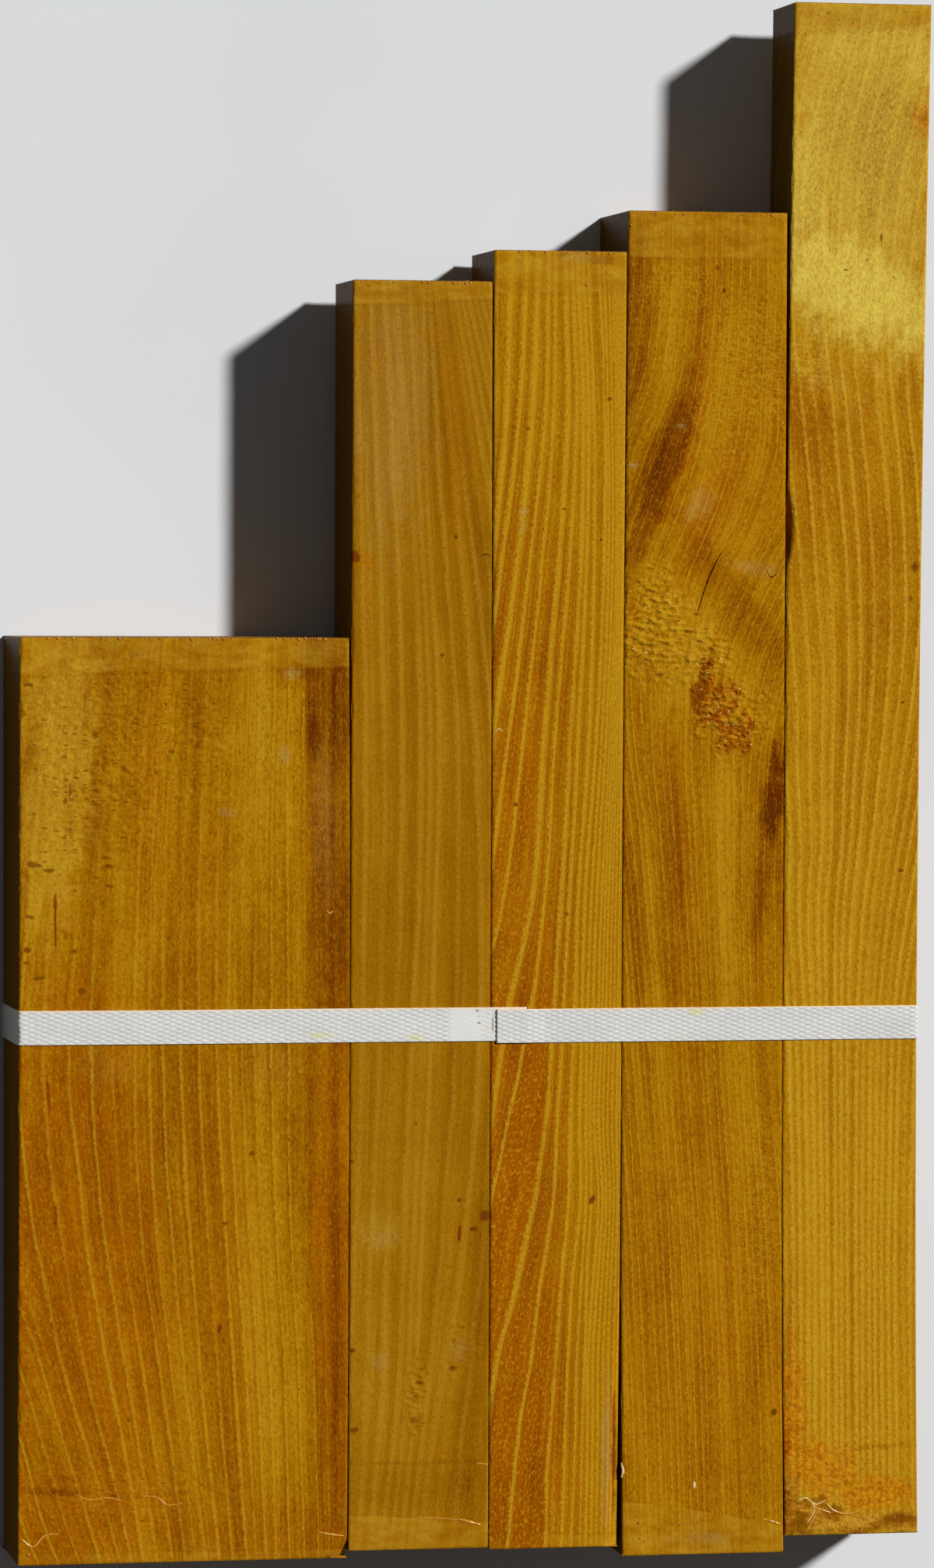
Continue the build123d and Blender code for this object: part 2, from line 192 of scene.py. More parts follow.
# Marks on the fronts, by kind: place across and up, half width, half height, strength, and the lean in
# degrees of those that lean
MARKS = {
    "board_1": {
        # The thin deep bands near -256 to -266 up, on boards 1 and 2, are a painted shadow across both boards
        "deep": ((-172, 20, 6, 30, 0.4), (-62, 44, 15, 12, 0.6), (-158, -264.5, 15, 1.6, 0.9, -4),
            (-128, -266.5, 22, 1.2, 0.5, 3), (-130, -278, 60, 12, 0.15), (-160, -250, 16, 24, 0.3, 20)),
        "light": ((-140, -106, 12, 8, 0.04), (-78, -108, 12, 10, 0.04)),
        "orange": ((-146, -272, 44, 26, 1.1), (-80, -282, 40, 14, 0.8)),
        "torn": ((-146, 6, 27, 54, 1), (-112, 16, 17, 30, 0.8), (-127, -266, 50, 12, 0.5)),
        "brown": ((-131, 46.9, 2.2, 1.5, 0.9), (-64, 18.5, 2.5, 6.5, 0.5), (-53.5, 42.5, 2.5, 3, 0.7),
            (-170.2, -62.7, 1.6, 1.5, 0.9), (-152.5, -63, 1.6, 1.5, 0.6), (-85.5, -139, 0.9, 1.1, 0.8, -30),
            (-95.5, -165, 1.4, 0.7, 0.8, -10), (-131.5, -238, 1.3, 1, 0.6, -30)),
        "red": ((-154.1, -4, 0.6, 4.5, 0.9), (-153.6, -18, 1, 10, 0.4, 2), (-159.5, -51, 0.6, 14, 1, 1),
            (-159.5, -80, 1, 14, 0.3), (-162, -117, 1, 15, 0.5, 4), (-159, -161, 0.6, 6, 0.6),
            (-97.5, -204.5, 0.7, 2.4, 1)),
        "chip": ((-156, -57, 1.5, 3, 0.5, 30), (-150, -78, 2, 1.4, 0.7), (-139.5, -31.7, 2.2, 0.8, 1),
            (-139.5, -38.9, 2.2, 0.7, 1, -8), (-167, -31.3, 3.4, 0.8, 1, -6), (-161.8, -33.1, 3, 0.9, 1),
            (-169.4, -50.3, 2.2, 0.7, 0.9, -10), (-170.5, -67.3, 1.6, 0.6, 0.9),
            (-165.5, -73.1, 3.2, 0.8, 0.9, 5), (-155.8, -7.4, 1.2, 1, 0.9),
            (-143.2, 48.9, 2.6, 0.6, 0.8, -15), (-107.6, 20.3, 2, 0.7, 0.7), (-116.3, 10.8, 1.7, 0.7, 0.8),
            (-170.1, 35.6, 2, 0.7, 0.9)),
        "grey": ((-95, -11.5, 4, 2, 0.4), (-70.5, 40, 3, 2.5, 0.4), (-74, 9.5, 3, 4, 0.3)),
    },
    "board_2": {
        "grey": ((-34, 140, 17, 60, 0.18), (-35, -171.5, 6.5, 4, 0.3), (-36, -218, 4, 4.5, 0.25),
            (-6.5, -214.5, 3.5, 4.5, 0.25)),
        # These deep bands are the painted shadow that also crosses board 1
        "deep": ((-22, -265.5, 28, 9.5, 0.4), (-22, -256.2, 28, 0.8, 0.6)),
        "light": ((-37, -168, 8, 10, 0.1),),
        "orange": ((-38, 157.5, 4.5, 6.5, 0.6), (-31.5, 156.5, 3, 3.5, 0.4), (-42.5, 81.5, 4.5, 3.5, 0.8),
            (-42.5, 67.5, 3, 14.5, 0.4)),
        "red": ((-47, 83.5, 2.5, 2.5, 0.9), (-6.5, -157.5, 1, 1, 0.8), (-6.5, -170, 1, 4.5, 1, -4)),
        "brown": ((-9, 91, 0.7, 0.7, 1), (-14, 47, 0.7, 0.7, 1), (-23.5, -128.5, 1.5, 1.5, 0.5),
            (3, -163.5, 2.5, 2.5, 0.9), (-1, -168.5, 1.5, 1, 0.8), (-47.5, -142.5, 1.5, 1, 0.7),
            (-47, -213.5, 1.5, 1, 0.7), (-46, -243.5, 2.5, 1.5, 0.7), (-22, -226, 2.5, 1, 0.8),
            (-23, -240, 2.5, 1.5, 0.9), (-8.5, -221, 2.5, 1, 0.8)),
        "torn": ((-40.5, 183.5, 11.5, 3, 0.7), (-17, 185, 17.5, 2, 0.4), (-23, -230, 4, 20.5, 1),
            (-6.5, -216, 9, 17.5, 0.4)),
    },
    "board_3": {
        "grey": ((36.5, 196, 9, 2, 0.6), (16.5, 101, 2, 1.5, 0.6), (16.5, 95, 1, 2.5, 0.4),
            (50.5, -258, 2, 32, 0.5)),
        "brown": ((47, 195.5, 8, 2.5, 0.6), (31, 197, 2.5, 2, 0.6), (18.5, 132, 0.7, 0.6, 1),
            (49.5, 143.5, 0.7, 0.6, 1), (32.5, 102, 0.7, 0.6, 1), (46.5, 90.5, 0.7, 1, 1),
            (14.5, -9, 1, 0.7, 1), (34, -50, 0.7, 0.6, 1)),
        "red": ((44.5, -158.5, 1.5, 2, 0.9, -20), (53.5, -252.5, 1.5, 29.5, 0.7)),
        "orange": ((43.5, -156.5, 3.5, 3.5, 0.6),),
    },
    "board_4": {
        "deep": ((98, 68, 10, 34, 0.7, 34), (109, 58, 8, 15, 0.5, 20), (114, -8, 5.5, 24, 1.7, -6),
            (110, -38, 4, 24, 0.8, -8)),
        "olive": ((75, 50, 20, 32, 0.8),),
        "orange": ((59.5, 62, 2.5, 10, 0.9), (66, 70, 1.6, 2.5, 0.8), (86, -200, 34, 90, 0.7)),
        "grey": ((84, 104, 5, 7, 0.25, -35), (106, 80, 12, 3, 0.25, -10), (77.5, 133.5, 2.5, 1, 0.5),
            (58.5, 118.5, 2.5, 1, 0.5), (88, -287.5, 13, 2.2, 0.5)),
        "red": ((91, 193, 1, 1.5, 0.6),),
        "brown": ((93.5, 184.5, 0.8, 0.8, 0.9), (56, 126, 0.8, 3, 0.9), (115.4, -5.5, 1.4, 3, 0.9),
            (115.5, -240, 1.7, 2, 0.9)),
        "torn": ((67, 59, 17, 25, 1.2), (86, 46, 13, 12, 1), (97, 24, 15, 16, 1.1, -30)),
        "chip": ((80.7, 56, 2, 0.7, 1, -5), (85, 52, 1.8, 0.8, 1, -20), (89, 49.5, 1.5, 0.7, 1, -20),
            (69.5, 39.8, 2, 0.7, 1, 5), (66.7, 71, 1.7, 0.6, 1)),
        "knot": ((87.5, 38, 4, 10, 1.2, -4), (84.5, 31, 4.5, 7, 1.2), (94.5, 30, 7, 9.5, 1.2, -10),
            (91, 24, 7, 6, 1), (96.5, 16.5, 5, 8, 1.2), (102.5, 19, 3.6, 11, 1.1)),
        "curl": ((102.5, 156.5, 17.5, 32, 1), (93.5, 135.5, 14.5, 17.5, 0.8), (75.5, 185, 17.5, 11.5, 0.6),
            (109, -161.5, 10, 52.5, 0.6)),
    },
    "board_5": {
        # On board 5's head the pale patches are partly paler wood and partly a painted sheen
        "light": ((146, 245, 40, 90, 0.4), (143, 188, 44, 21, 0.9, -29), (126, 225, 11, 40, 0.6),
            (150, 278, 30, 12, 0.5), (168, 272, 9, 14, 0.6), (134.5, -284, 2.5, 2, 0.5)),
        "deep": ((158, 242, 16, 15, 0.4, 20), (158, -254, 14, 1.2, 0.6, 2), (171, 250, 4.5, 6, 0.9)),
        "orange": ((160, 152, 16, 10, 0.5, -20), (119, -225, 6, 55, 0.8)),
        "pits": ((148, 242, 20, 24, 1), (143, 194, 20, 16, 0.5), (167, 175, 6, 22, 0.7)),
        "amber": ((170, 250, 6, 8, 0.8), (123, -240, 7, 34, 0.8), (134, -263, 20, 14, 0.9, -20),
            (154, -272, 22, 8, 1)),
        "brown": ((132.5, 266.5, 0.5, 0.6, 0.8), (132, 222, 0.5, 0.5, 0.9), (137, 201, 0.5, 0.8, 0.9),
            (133.5, 289.5, 1.5, 1, 0.8), (141, 193, 1.6, 0.8, 0.7), (159.5, 190.5, 0.9, 0.6, 0.8),
            (154.5, 205.5, 0.6, 2, 0.8), (149, 197, 0.7, 0.7, 0.8), (166.5, 124, 2, 1.5, 0.5),
            (168.5, 81, 1.8, 2.2, 0.8), (167, 68.5, 2, 2, 0.5), (164, 29.5, 1.6, 0.9, 0.8),
            (163.5, -34.5, 1.6, 0.9, 0.8)),
        "bark": ((118.5, 92, 2, 13, 1),),
        "curl": ((126, 160, 6, 14, 1), (145, 160, 22, 10, 0.5)),
        "resin": ((130, -280, 17, 8, 1.2), (122, -276, 5, 13, 1.2), (147, -283, 14, 5, 0.9),
            (164, -282, 12, 5, 0.7)),
        "red": ((120.5, -252, 1.6, 7, 0.9), (120.5, -273, 1.6, 8, 0.9)),
    },
}
# Marks that follow the grain: ring number, place up, half width in rings, half height, strength. Their edges
# are as ragged as if each ring were this wide, in millimetres.
RAGGED_RING = 4
SWATHS = {
    "board_1": {
        "light": ((2.6, 15, 1.8, 75, 0.1),),
        "olive": ((2.6, 15, 2.2, 80, 0.8), (14.8, 5, 3, 70, 0.9), (15.5, -195, 2.6, 110, 0.5)),
        "orange": ((7.8, -15, 1.4, 75, 0.6), (11, -55, 2, 45, 0.5), (4, -175, 6, 120, 1.1),
            (12, -190, 3, 110, 0.6), (19.7, -190, 1.7, 115, 1.1)),
        "plain": ((9, 0, 8, 110, 0.6), (19.8, -110, 2, 300, 0.9)),
        "deep": ((19.8, 25, 1.5, 38, 0.65), (18.7, 18, 0.5, 16, 0.85), (19.6, -50, 1.7, 50, 0.4),
            (5, -180, 7, 120, 0.18), (19.8, -190, 0.6, 100, 0.3)),
        "grey": ((19.3, -15, 0.9, 30, 0.12),),
    },
    "board_2": {
        "orange": ((8.6, 140, 1.8, 65, 0.35),),
        "deep": ((9.3, 130, 0.9, 60, 0.35), (8.9, -160, 0.5, 90, 0.35)),
        "olive": ((4, -190, 3, 70, 0.4),),
    },
    "board_3": {
        "olive": ((6, 150, 6, 60, 0.5),),
        "orange": ((2, 60, 2, 60, 0.4), (4.6, -15, 2.2, 90, 1), (7.2, -140, 2.6, 130, 1.2),
            (9.5, -240, 2, 80, 1.2), (12, -260, 3, 50, 0.6)),
    },
    "board_4": {
        "deep": ((3.6, 165, 2.4, 62, 0.55), (11, 155, 0.8, 36, 0.35), (10.2, 120, 2.3, 40, 1.15),
            (8, 113, 1.6, 28, 0.6), (29.4, -30, 1.4, 26, 0.7), (17.4, -28, 1.6, 50, 0.45),
            (10, -70, 1.4, 60, 0.5)),
        "olive": ((8, 175, 2, 40, 0.7), (13, -50, 1.2, 50, 0.7), (23.5, -30, 2.5, 60, 0.8)),
        "orange": ((11.5, 150, 2, 60, 0.9), (16, 110, 3, 50, 0.8), (20, 130, 2, 60, 0.5),
            (17.4, -40, 2.4, 70, 0.7), (27.5, -70, 1.2, 40, 0.6), (18, -190, 4, 90, 0.5),
            (27, -200, 2, 90, 0.5)),
    },
    "board_5": {
        "deep": ((12.4, 243, 2.6, 24, 0.55), (8.4, 132, 1.6, 26, 0.35)),
        "orange": ((8.6, 125, 2.4, 42, 0.8), (12, 100, 2, 60, 0.5), (9, 0, 3, 90, 0.4),
            (16, -40, 1.5, 80, 0.4), (2.8, -235, 1.6, 36, 0.8)),
    },
}
KINDS = sorted({kind for table in (MARKS, SWATHS) for kinds in table.values() for kind in kinds})

# The waxed ends: where the wax stops below the head and above the foot, as places across and up
WAX = {
    "board_1": (((-173.5, 39.5), (-96, 41.5), (-50, 42.5)), ((-172.5, -287.5), (-49, -288.5))),
    "board_2": (((-48.5, 177.5), (4.5, 180.5)), ((-47.5, -276), (-24, -277), (-3, -279), (4.5, -279.5))),
    "board_3": (((5, 183), (55.5, 183)), ((6, -284.5), (55, -285.5))),
    "board_4": (((56.5, 196.5), (117.5, 197)), ((57.5, -273), (85, -277), (119.5, -283.5))),
    "board_5": (((120, 282), (173, 285.5)), ((120, -280.5), (172.5, -280))),
}

# The strap's joint on the front: the ends of its two layers, the ramp's foot, and the pressed part's start
UNDER_END = 18.8
OVER_END = 7.3
RAMP_FOOT = 26.0
PRESSED_FROM = -10.2
STRAP_THICK = 0.6
STRAP_WIDTH = 12.7
STRAP_STEP = 0.5
STRAP_COLUMNS = 39
# The diamonds pressed into the strap: their length along it, and their height
DIAMOND_LENGTH = 4.8
DIAMOND_HEIGHT = 1.75
DIAMOND_DEPTH = 0.28
# Marks on the strap, by kind, as on the boards. The shade mark is a painted shade on the strap's left turn.
STRAP_MARKS = {
    "scuff": ((-0.1, -86.4, 0.5, 0.5, 1), (0.6, -91.0, 0.8, 0.45, 1), (0.2, -88.6, 0.3, 0.3, 1),
        (5.9, -92.0, 0.3, 3.0, 1), (6.6, -88.0, 0.3, 2.0, 1)),
    "stain": ((-23.3, -96.2, 4.0, 1.8, 1), (-60.0, -95.0, 5.0, 1.5, 1), (84.0, -87.5, 4.0, 1.5, 1)),
    "shade": ((-174.5, -92.0, 2.2, 12.0, 1),),
}

# Drops of wax that stand on the fronts: place across and up, and radius
DROPS = {
    "board_1": ((-68.5, 52.8, 0.6), (-58.5, 52.8, 0.6), (-169, -287.5, 0.7)),
    "board_2": ((-6.5, -275.5, 0.45), (-3.5, -276, 0.4), (0.5, -276.5, 0.5), (-5.5, -283.5, 0.5),
        (-1, -284, 0.35), (-2.5, -286, 0.4)),
    "board_3": ((40.5, 186, 0.65), (20.3, 194.1, 0.3), (24.8, 193.3, 0.25), (18.9, 183.9, 0.25),
        (25.7, 182.8, 0.3)),
    "board_4": ((63, -281, 0.55), (79, -282, 0.6), (63.5, -287, 0.45), (78.5, -291, 0.4), (57.5, 208.6, 0.45),
        (102.9, 205.8, 0.25), (104.1, 206.1, 0.25), (106.5, 202.6, 0.3), (108.9, 204.1, 0.3)),
    "board_5": ((130.1, 149.5, 0.4), (132, 147.8, 0.35), (153.4, 117.4, 0.35), (168, 120.4, 0.35),
        (168.3, 83, 0.35), (134.2, 90.2, 0.35), (123, -16.5, 0.3), (120.5, 101.5, 0.35), (120.5, 82, 0.4)),
}
# Strewn drops: how many, the stretch of front that they lie on, and the largest radius
STREWN = {
    "board_1": ((34, -169, -60, 52.7, 53.1, 0.75), (14, -71, -53, 48.5, 52.2, 0.36),
        (26, -165, -60, -290, -284, 0.4)),
    "board_2": ((26, -45, -28, -288, -278, 0.4), (12, -46, 3, 185.8, 186.3, 0.6)),
    "board_3": ((14, 8, 54, 197.6, 198.1, 0.6),),
    "board_4": ((14, 60, 117, 213.0, 213.5, 0.6), (8, 60, 117, -291, -285, 0.4)),
    "board_5": ((44, 122, 160, 281.5, 289, 0.36), (12, 125, 168, -284, -279, 0.5)),
}
# Splits, ridges and fibres on the fronts, by kind: radius, height as a share of it, and the line they follow
STRANDS = {
    "board_1": {
        "wax": (
            (0.5, 0.7, ((-60.1, -281.5), (-55, -282.5), (-50, -283.2))),
            (0.3, 0.4, ((-152, -265), (-146, -267.5), (-139, -266.8), (-133, -268.5))),
            (0.3, 0.4, ((-127, -266.5), (-121, -267), (-117, -270), (-111, -269.5))),
            (0.45, 0.6, ((-172, -281), (-167.5, -284.5), (-163, -280.5), (-158, -279.8))),
        ),
        "pale": ((0.18, 0.5, ((-57.4, -48.6), (-56.3, -49.5), (-55.1, -48.6))),),
    },
    "board_2": {
        "split": ((0.28, 0.15, ((0, 83.9), (2.1, 84.8), (4.5, 84.2))),),
        "wax": (
            (0.25, 0.6, ((-23.9, -276.8), (-15, -277.3), (-6.1, -278.1))),
            (0.6, 0.8, ((-6.7, -277.8), (-1.9, -279.1), (2.6, -280.4))),
            (0.3, 0.5, ((0.1, -256.8), (2.2, -257.1), (5, -257.5))),
        ),
    },
    "board_3": {
        "pale": ((0.2, 0.5, ((6.6, 18.3), (7.7, 19.4), (9.2, 18.3))),),
    },
    "board_4": {
        "split": (
            (0.4, 0.12, ((94, 87.3), (91.6, 83.5), (88.3, 76.4), (85.6, 68.8), (83.6, 62.3))),
            (0.25, 0.15, ((110.1, 80.9), (111.2, 78), (112.4, 76.8), (114.3, 77.7), (116, 80.9))),
        ),
        "wax": (
            (0.25, 0.9, ((114.3, 68.3), (116.1, 69.8), (117.9, 70.4))),
            (0.45, 0.7, ((110.7, -280.6), (114.4, -281.5), (118.6, -282.8))),
        ),
        "pale": (
            (0.6, 0.4, ((56.4, -258), (57, -261.3), (56.4, -263.6))),
            (0.6, 0.3, ((84.6, -265.7), (84.6, -268.4))),
        ),
    },
    "board_5": {
        "wax": (
            (0.4, 0.8, ((129.6, -276.6), (133.2, -277.2), (138.4, -279.1))),
            (0.4, 0.8, ((128.1, -286.3), (130.8, -281.6), (133.2, -277.8))),
            (0.35, 0.8, ((149.5, -286.7), (150.7, -284.5))),
            (0.5, 0.7, ((136, -275), (139, -278), (144, -279.5), (149, -278.5))),
        ),
        "pale": (
            (0.3, 0.6, ((124.5, -274.5), (128, -273), (132, -275.5), (136, -274))),
            (0.3, 0.6, ((130.5, -274.5), (131.5, -278), (128.5, -283))),
        ),
    },
}


def colour(shade):
    """A colour's screen values, 0 to 255, as the shader's linear ones."""
    def linear(value):
        value = value / 255
        return value / 12.92 if value <= 0.04045 else ((value + 0.055) / 1.055) ** 2.4
    return (*map(linear, shade), 1.0)


# Colours are in screen values. Each board has its dark wood, its middle, its pale wood and its pale lines.
WOOD = {
    "board_1": ((128, 70, 0), (158, 103, 0), (178, 130, 14), (184, 138, 22)),
    "board_2": ((132, 83, 0), (152, 101, 3), (167, 120, 20), (173, 128, 28)),
    "board_3": ((144, 78, 0), (162, 106, 0), (180, 134, 14), (188, 143, 24)),
    "board_4": ((126, 68, 0), (157, 102, 0), (176, 126, 10), (182, 134, 18)),
    "board_5": ((150, 94, 0), (172, 120, 8), (190, 144, 26), (196, 152, 36)),
}


def palette(*shades):
    """A ramp over the wood's shades, from the deepest one to the palest."""
    return tuple(zip((0.0, 0.33, 0.67, 1.0), shades))


# What patches turn the wood to, from its dark parts to its pale ones
DEEP = (92, 38, 0)
ORANGE = palette((96, 38, 0), (132, 64, 0), (162, 90, 0), (184, 122, 12))
YELLOW = palette((110, 62, 0), (150, 96, 2), (172, 126, 8), (190, 150, 34))
# Some of these are painted light and shade: the left sides' and strap's painted shade, the glints, shine,
# lump and edge highlights, and in part the grooves, chips and pits
SHADES = {
    "light": (218, 194, 80), "grey": (172, 144, 82), "brown": (98, 38, 2), "red": (112, 38, 2),
    "bark": (104, 62, 22), "pit": (138, 76, 4), "painted_glint": (250, 208, 120), "painted_lump_highlight": (190, 140, 24),
    "chip": (104, 60, 2), "painted_shine": (250, 222, 150), "rim": (110, 62, 4), "side": (48, 30, 4),
    "groove": (160, 160, 162), "cloud": (206, 200, 160), "stain": (206, 204, 120), "speck": (120, 112, 96),
    "pressed": (224, 223, 220), "warm": (250, 214, 160), "scuff": (104, 84, 62), "strap side": (62, 58, 44),
    "floor": (123.55, 123.55, 123.55),
}
RAMPS = {
    "amber": ((0.35, (166, 80, 0)), (0.62, (204, 132, 12))),
    "knot": ((0.25, (104, 40, 0)), (0.5, (144, 66, 0)), (0.75, (178, 106, 10))),
    "wax": ((0.34, (156, 100, 8)), (0.50, (174, 124, 20)), (0.64, (188, 144, 36))),
    "resin": ((0.35, (112, 62, 2)), (0.5, (148, 90, 8)), (0.66, (190, 136, 36))),
    "end": ((0.3, (120, 74, 16)), (0.7, (176, 130, 60))),
    "strap": ((0.35, (210, 209, 204)), (0.7, (220, 219, 214))),
    "floor": ((0.3, (212.23, 213.65, 215.06)), (0.7, (220.59, 221.94, 223.28))),
}


# Noise, curves, rings and marks for the meshes
def noise(x, y, seed):
    """Smooth noise from -1 to 1, the same on each run."""
    table = np.random.default_rng(seed).uniform(-1, 1, (256, 256))
    column, row = np.floor(x).astype(int), np.floor(y).astype(int)
    along, up = x - column, y - row
    along, up = along * along * (3 - 2 * along), up * up * (3 - 2 * up)
    corner = [table[(column + i) % 256, (row + j) % 256] for i, j in ((0, 0), (1, 0), (0, 1), (1, 1))]
    low = corner[0] + (corner[1] - corner[0]) * along
    high = corner[2] + (corner[3] - corner[2]) * along
    return low + (high - low) * up


def fade(value, start, end):
    """0 before start, 1 after end, smooth between them."""
    t = np.clip((value - start) / (end - start), 0, 1)
    return t * t * (3 - 2 * t)


def curve(places, values, at):
    """A smooth curve through the values."""
    order = np.argsort(places)
    places, values = np.asarray(places, float)[order], np.asarray(values, float)[order]
    slopes = np.gradient(values, places)
    i = np.clip(np.searchsorted(places, at) - 1, 0, len(places) - 2)
    gap = places[i + 1] - places[i]
    t = np.clip((at - places[i]) / gap, 0, 1)
    rise = values[i + 1] - values[i]
    return (values[i] + t * t * (3 - 2 * t) * rise
            + gap * t * (1 - t) * ((1 - t) * slopes[i] - t * slopes[i + 1]))


def rings(name, x, y, depth):
    """Each point's ring number, the rings' spacing there and the pale line's width."""
    grain = GRAIN[name]
    numbers = np.array([line[0] for line in grain["lines"]], float)
    widths = np.array([line[1] for line in grain["lines"]], float)
    lines = np.stack([curve(grain["heights"], line[2], y) for line in grain["lines"]], axis=1)
    across = x + grain["tilt"] * depth + 0.004 * depth * depth
    left = np.clip((lines <= across[:, None]).sum(axis=1) - 1, 0, len(numbers) - 2)
    each = np.arange(len(x))
    start, end = lines[each, left], lines[each, left + 1]
    share = (across - start) / (end - start)
    ring = numbers[left] + share * (numbers[left + 1] - numbers[left])
    spacing = (end - start) / (numbers[left + 1] - numbers[left])
    return ring, spacing, np.interp(ring, numbers, widths)


def mark_strength(mark, x, y):
    """How strongly a mark shows at each point: all its strength in its middle, 0 outside it."""
    across, up, half_width, half_height, strength, *lean = mark
    angle = radians(sum(lean))
    dx, dy = x - across, y - up
    aside = (dx * cos(angle) + dy * sin(angle)) / half_width
    along = (dy * cos(angle) - dx * sin(angle)) / half_height
    ragged = 0.25 * noise(x / 3 + 7, y / 5 + 3, 5) + 0.15 * noise(x / 1.1, y / 2, 6)
    return strength * (1 - fade(np.hypot(aside, along) + ragged, 0.35, 1.25))


def masks_of(groups, x, y, scale=1):
    """How strongly each kind of mark shows at each point. The scale turns places across into millimetres."""
    masks = {}
    for kind, marks in groups.items():
        scaled = [(mark[0] * scale, mark[1], mark[2] * scale, *mark[3:]) for mark in marks]
        masks[kind] = np.max([mark_strength(mark, x * scale, y) for mark in scaled], axis=0)
    return masks


# Board meshes
def spread(length, step, more=()):
    """Places along an edge as shares of it: closer together at both ends, where the arris turns."""
    near = np.array(ARRIS_PLACES)
    count = max(2, round((length - 2 * ARRIS) / step) + 1)
    middle = np.concatenate([np.linspace(ARRIS, length - ARRIS, count), more])
    middle = middle[(middle >= ARRIS) & (middle <= length - ARRIS)]
    middle = np.unique(np.round(middle / LEAST_STEP)) * LEAST_STEP
    return np.concatenate([near, middle, length - near[::-1]]) / length


def mark_places(name, axis):
    """Where a board's front needs more lines of its grid across an axis, 0 or 1, for its marks."""
    places = []
    for kind, marks in MARKS[name].items():
        for mark in marks:
            middle, half = mark[axis], mark[2 + axis]
            if min(mark[2], mark[3]) <= FINE_MARK:
                places += [middle + share * half for share in FINE_PLACES]
            elif kind in ("torn", "knot"):
                places += list(np.arange(middle - half, middle + half, RELIEF_STEP))
    return np.array(places)


class Solid:
    """A CAD node that points are cast onto."""

    def __init__(self, name):
        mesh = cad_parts[name].data
        self.tree = BVHTree.FromPolygons(
            [v.co for v in mesh.vertices], [p.vertices[:] for p in mesh.polygons]
        )
        low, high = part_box(name)
        self.low, self.high = low / MM, high / MM

    def cast(self, start, direction, otherwise):
        """Where a ray meets the solid, in millimetres."""
        found = self.tree.ray_cast(Vector(start) * MM, Vector(direction))[0]
        return found / MM if found else Vector(otherwise)

    def meet(self, place, direction):
        """Where a ray that starts a little outside a place meets the solid, or else the place."""
        return self.cast(Vector(place) - Vector(direction) * RAY_START, direction, place)


@cache
def solid_of(name):
    return Solid(name)


def in_scene(name, data):
    """An object of the scene."""
    thing = bpy.data.objects.new(name, data)
    bpy.context.scene.collection.objects.link(thing)
    return thing


def smooth_piece(name, mesh):
    """A piece that shows a mesh, with smooth faces."""
    mesh.polygons.foreach_set("use_smooth", [True] * len(mesh.polygons))
    return in_scene(name, mesh)


def built(name, points, faces, values):
    """A piece from points in millimetres, with the values that its material reads at each point."""
    mesh = bpy.data.meshes.new(name)
    mesh.from_pydata((points * MM).tolist(), [], faces)
    for key, value in values.items():
        layer = mesh.attributes.new(key, "FLOAT", "POINT")
        layer.data.foreach_set("value", np.ascontiguousarray(value.reshape(-1), dtype=np.float32))
    return smooth_piece(name, mesh)


def stitch(upper, lower):
    """Triangles between two rows of points that run the same way and may differ in number."""
    faces = []
    i = j = 0
    while i < len(upper) - 1 or j < len(lower) - 1:
        take_upper = i < len(upper) - 1 and (i + 1) * (len(lower) - 1) <= (j + 1) * (len(upper) - 1)
        if take_upper or j == len(lower) - 1:
            faces.append((upper[i], lower[j], upper[i + 1]))
            i += 1
        else:
            faces.append((upper[i], lower[j], lower[j + 1]))
            j += 1
    return faces


def board_points(name):
    """Rings of points round a board from foot to head, cast onto its CAD solid."""
    solid = solid_of(name)
    low, high = solid.low, solid.high
    across = spread(high.x - low.x, FRONT_STEP, mark_places(name, 0) - low.x)
    across_back = spread(high.x - low.x, COARSE_STEP)
    up = spread(high.y - low.y, FRONT_STEP, mark_places(name, 1) - low.y)
    down = spread(high.z - low.z, COARSE_STEP)[1:-1]
    mid_z = high.z - OUTLINE_DEPTH
    # The ends aren't quite square, so each column has its own foot and head
    columns = low.x + np.linspace(0, 1, 9) * (high.x - low.x)
    columns = np.clip(columns, low.x + 4.5, high.x - 4.5)
    feet = [solid.meet((x, low.y, mid_z), (0, 1, 0)).y for x in columns]
    heads = [solid.meet((x, high.y, mid_z), (0, -1, 0)).y for x in columns]
    foot_slope, foot_level = (float(v) for v in np.polyfit(columns, feet, 1))
    head_slope, head_level = (float(v) for v in np.polyfit(columns, heads, 1))

    def height(x, share):
        foot = foot_slope * x + foot_level
        head = head_slope * x + head_level
        return foot + share * (head - foot)

    rows = []
    for t in up:
        y_mid = low.y + t * (high.y - low.y)
        y_cast = min(max(y_mid, low.y + 4), high.y - 4)
        left = solid.meet((low.x, y_cast, mid_z), (1, 0, 0)).x
        right = solid.meet((high.x, y_cast, mid_z), (-1, 0, 0)).x
        in_front, behind = (left + shares * (right - left) for shares in (across, across_back[::-1]))
        front = [solid.meet((x, height(x, t), high.z), (0, 0, -1)) for x in in_front]
        back = [solid.meet((x, height(x, t), low.z), (0, 0, 1)) for x in behind]
        going_down = front[-1].z + down * (back[0].z - front[-1].z)
        going_up = back[-1].z + down * (front[0].z - back[-1].z)
        right_side = [solid.meet((right, front[-1].y, z), (-1, 0, 0)) for z in going_down]
        left_side = [solid.meet((left, front[0].y, z), (1, 0, 0)) for z in going_up]
        rows.append(front + right_side + back + left_side)
    points = np.array([[tuple(p) for p in row] for row in rows])
    return solid, points, len(across), len(down), len(across_back)


def ring_faces(rows, ring):
    """The quads between neighbouring rings of points."""
    r = np.arange(rows - 1)[:, None] * ring
    k = np.arange(ring)[None, :]
    after = (k + 1) % ring
    quads = np.stack([r + k, r + after, r + ring + after, r + ring + k], axis=-1)
    return quads.reshape(-1, 4).tolist()


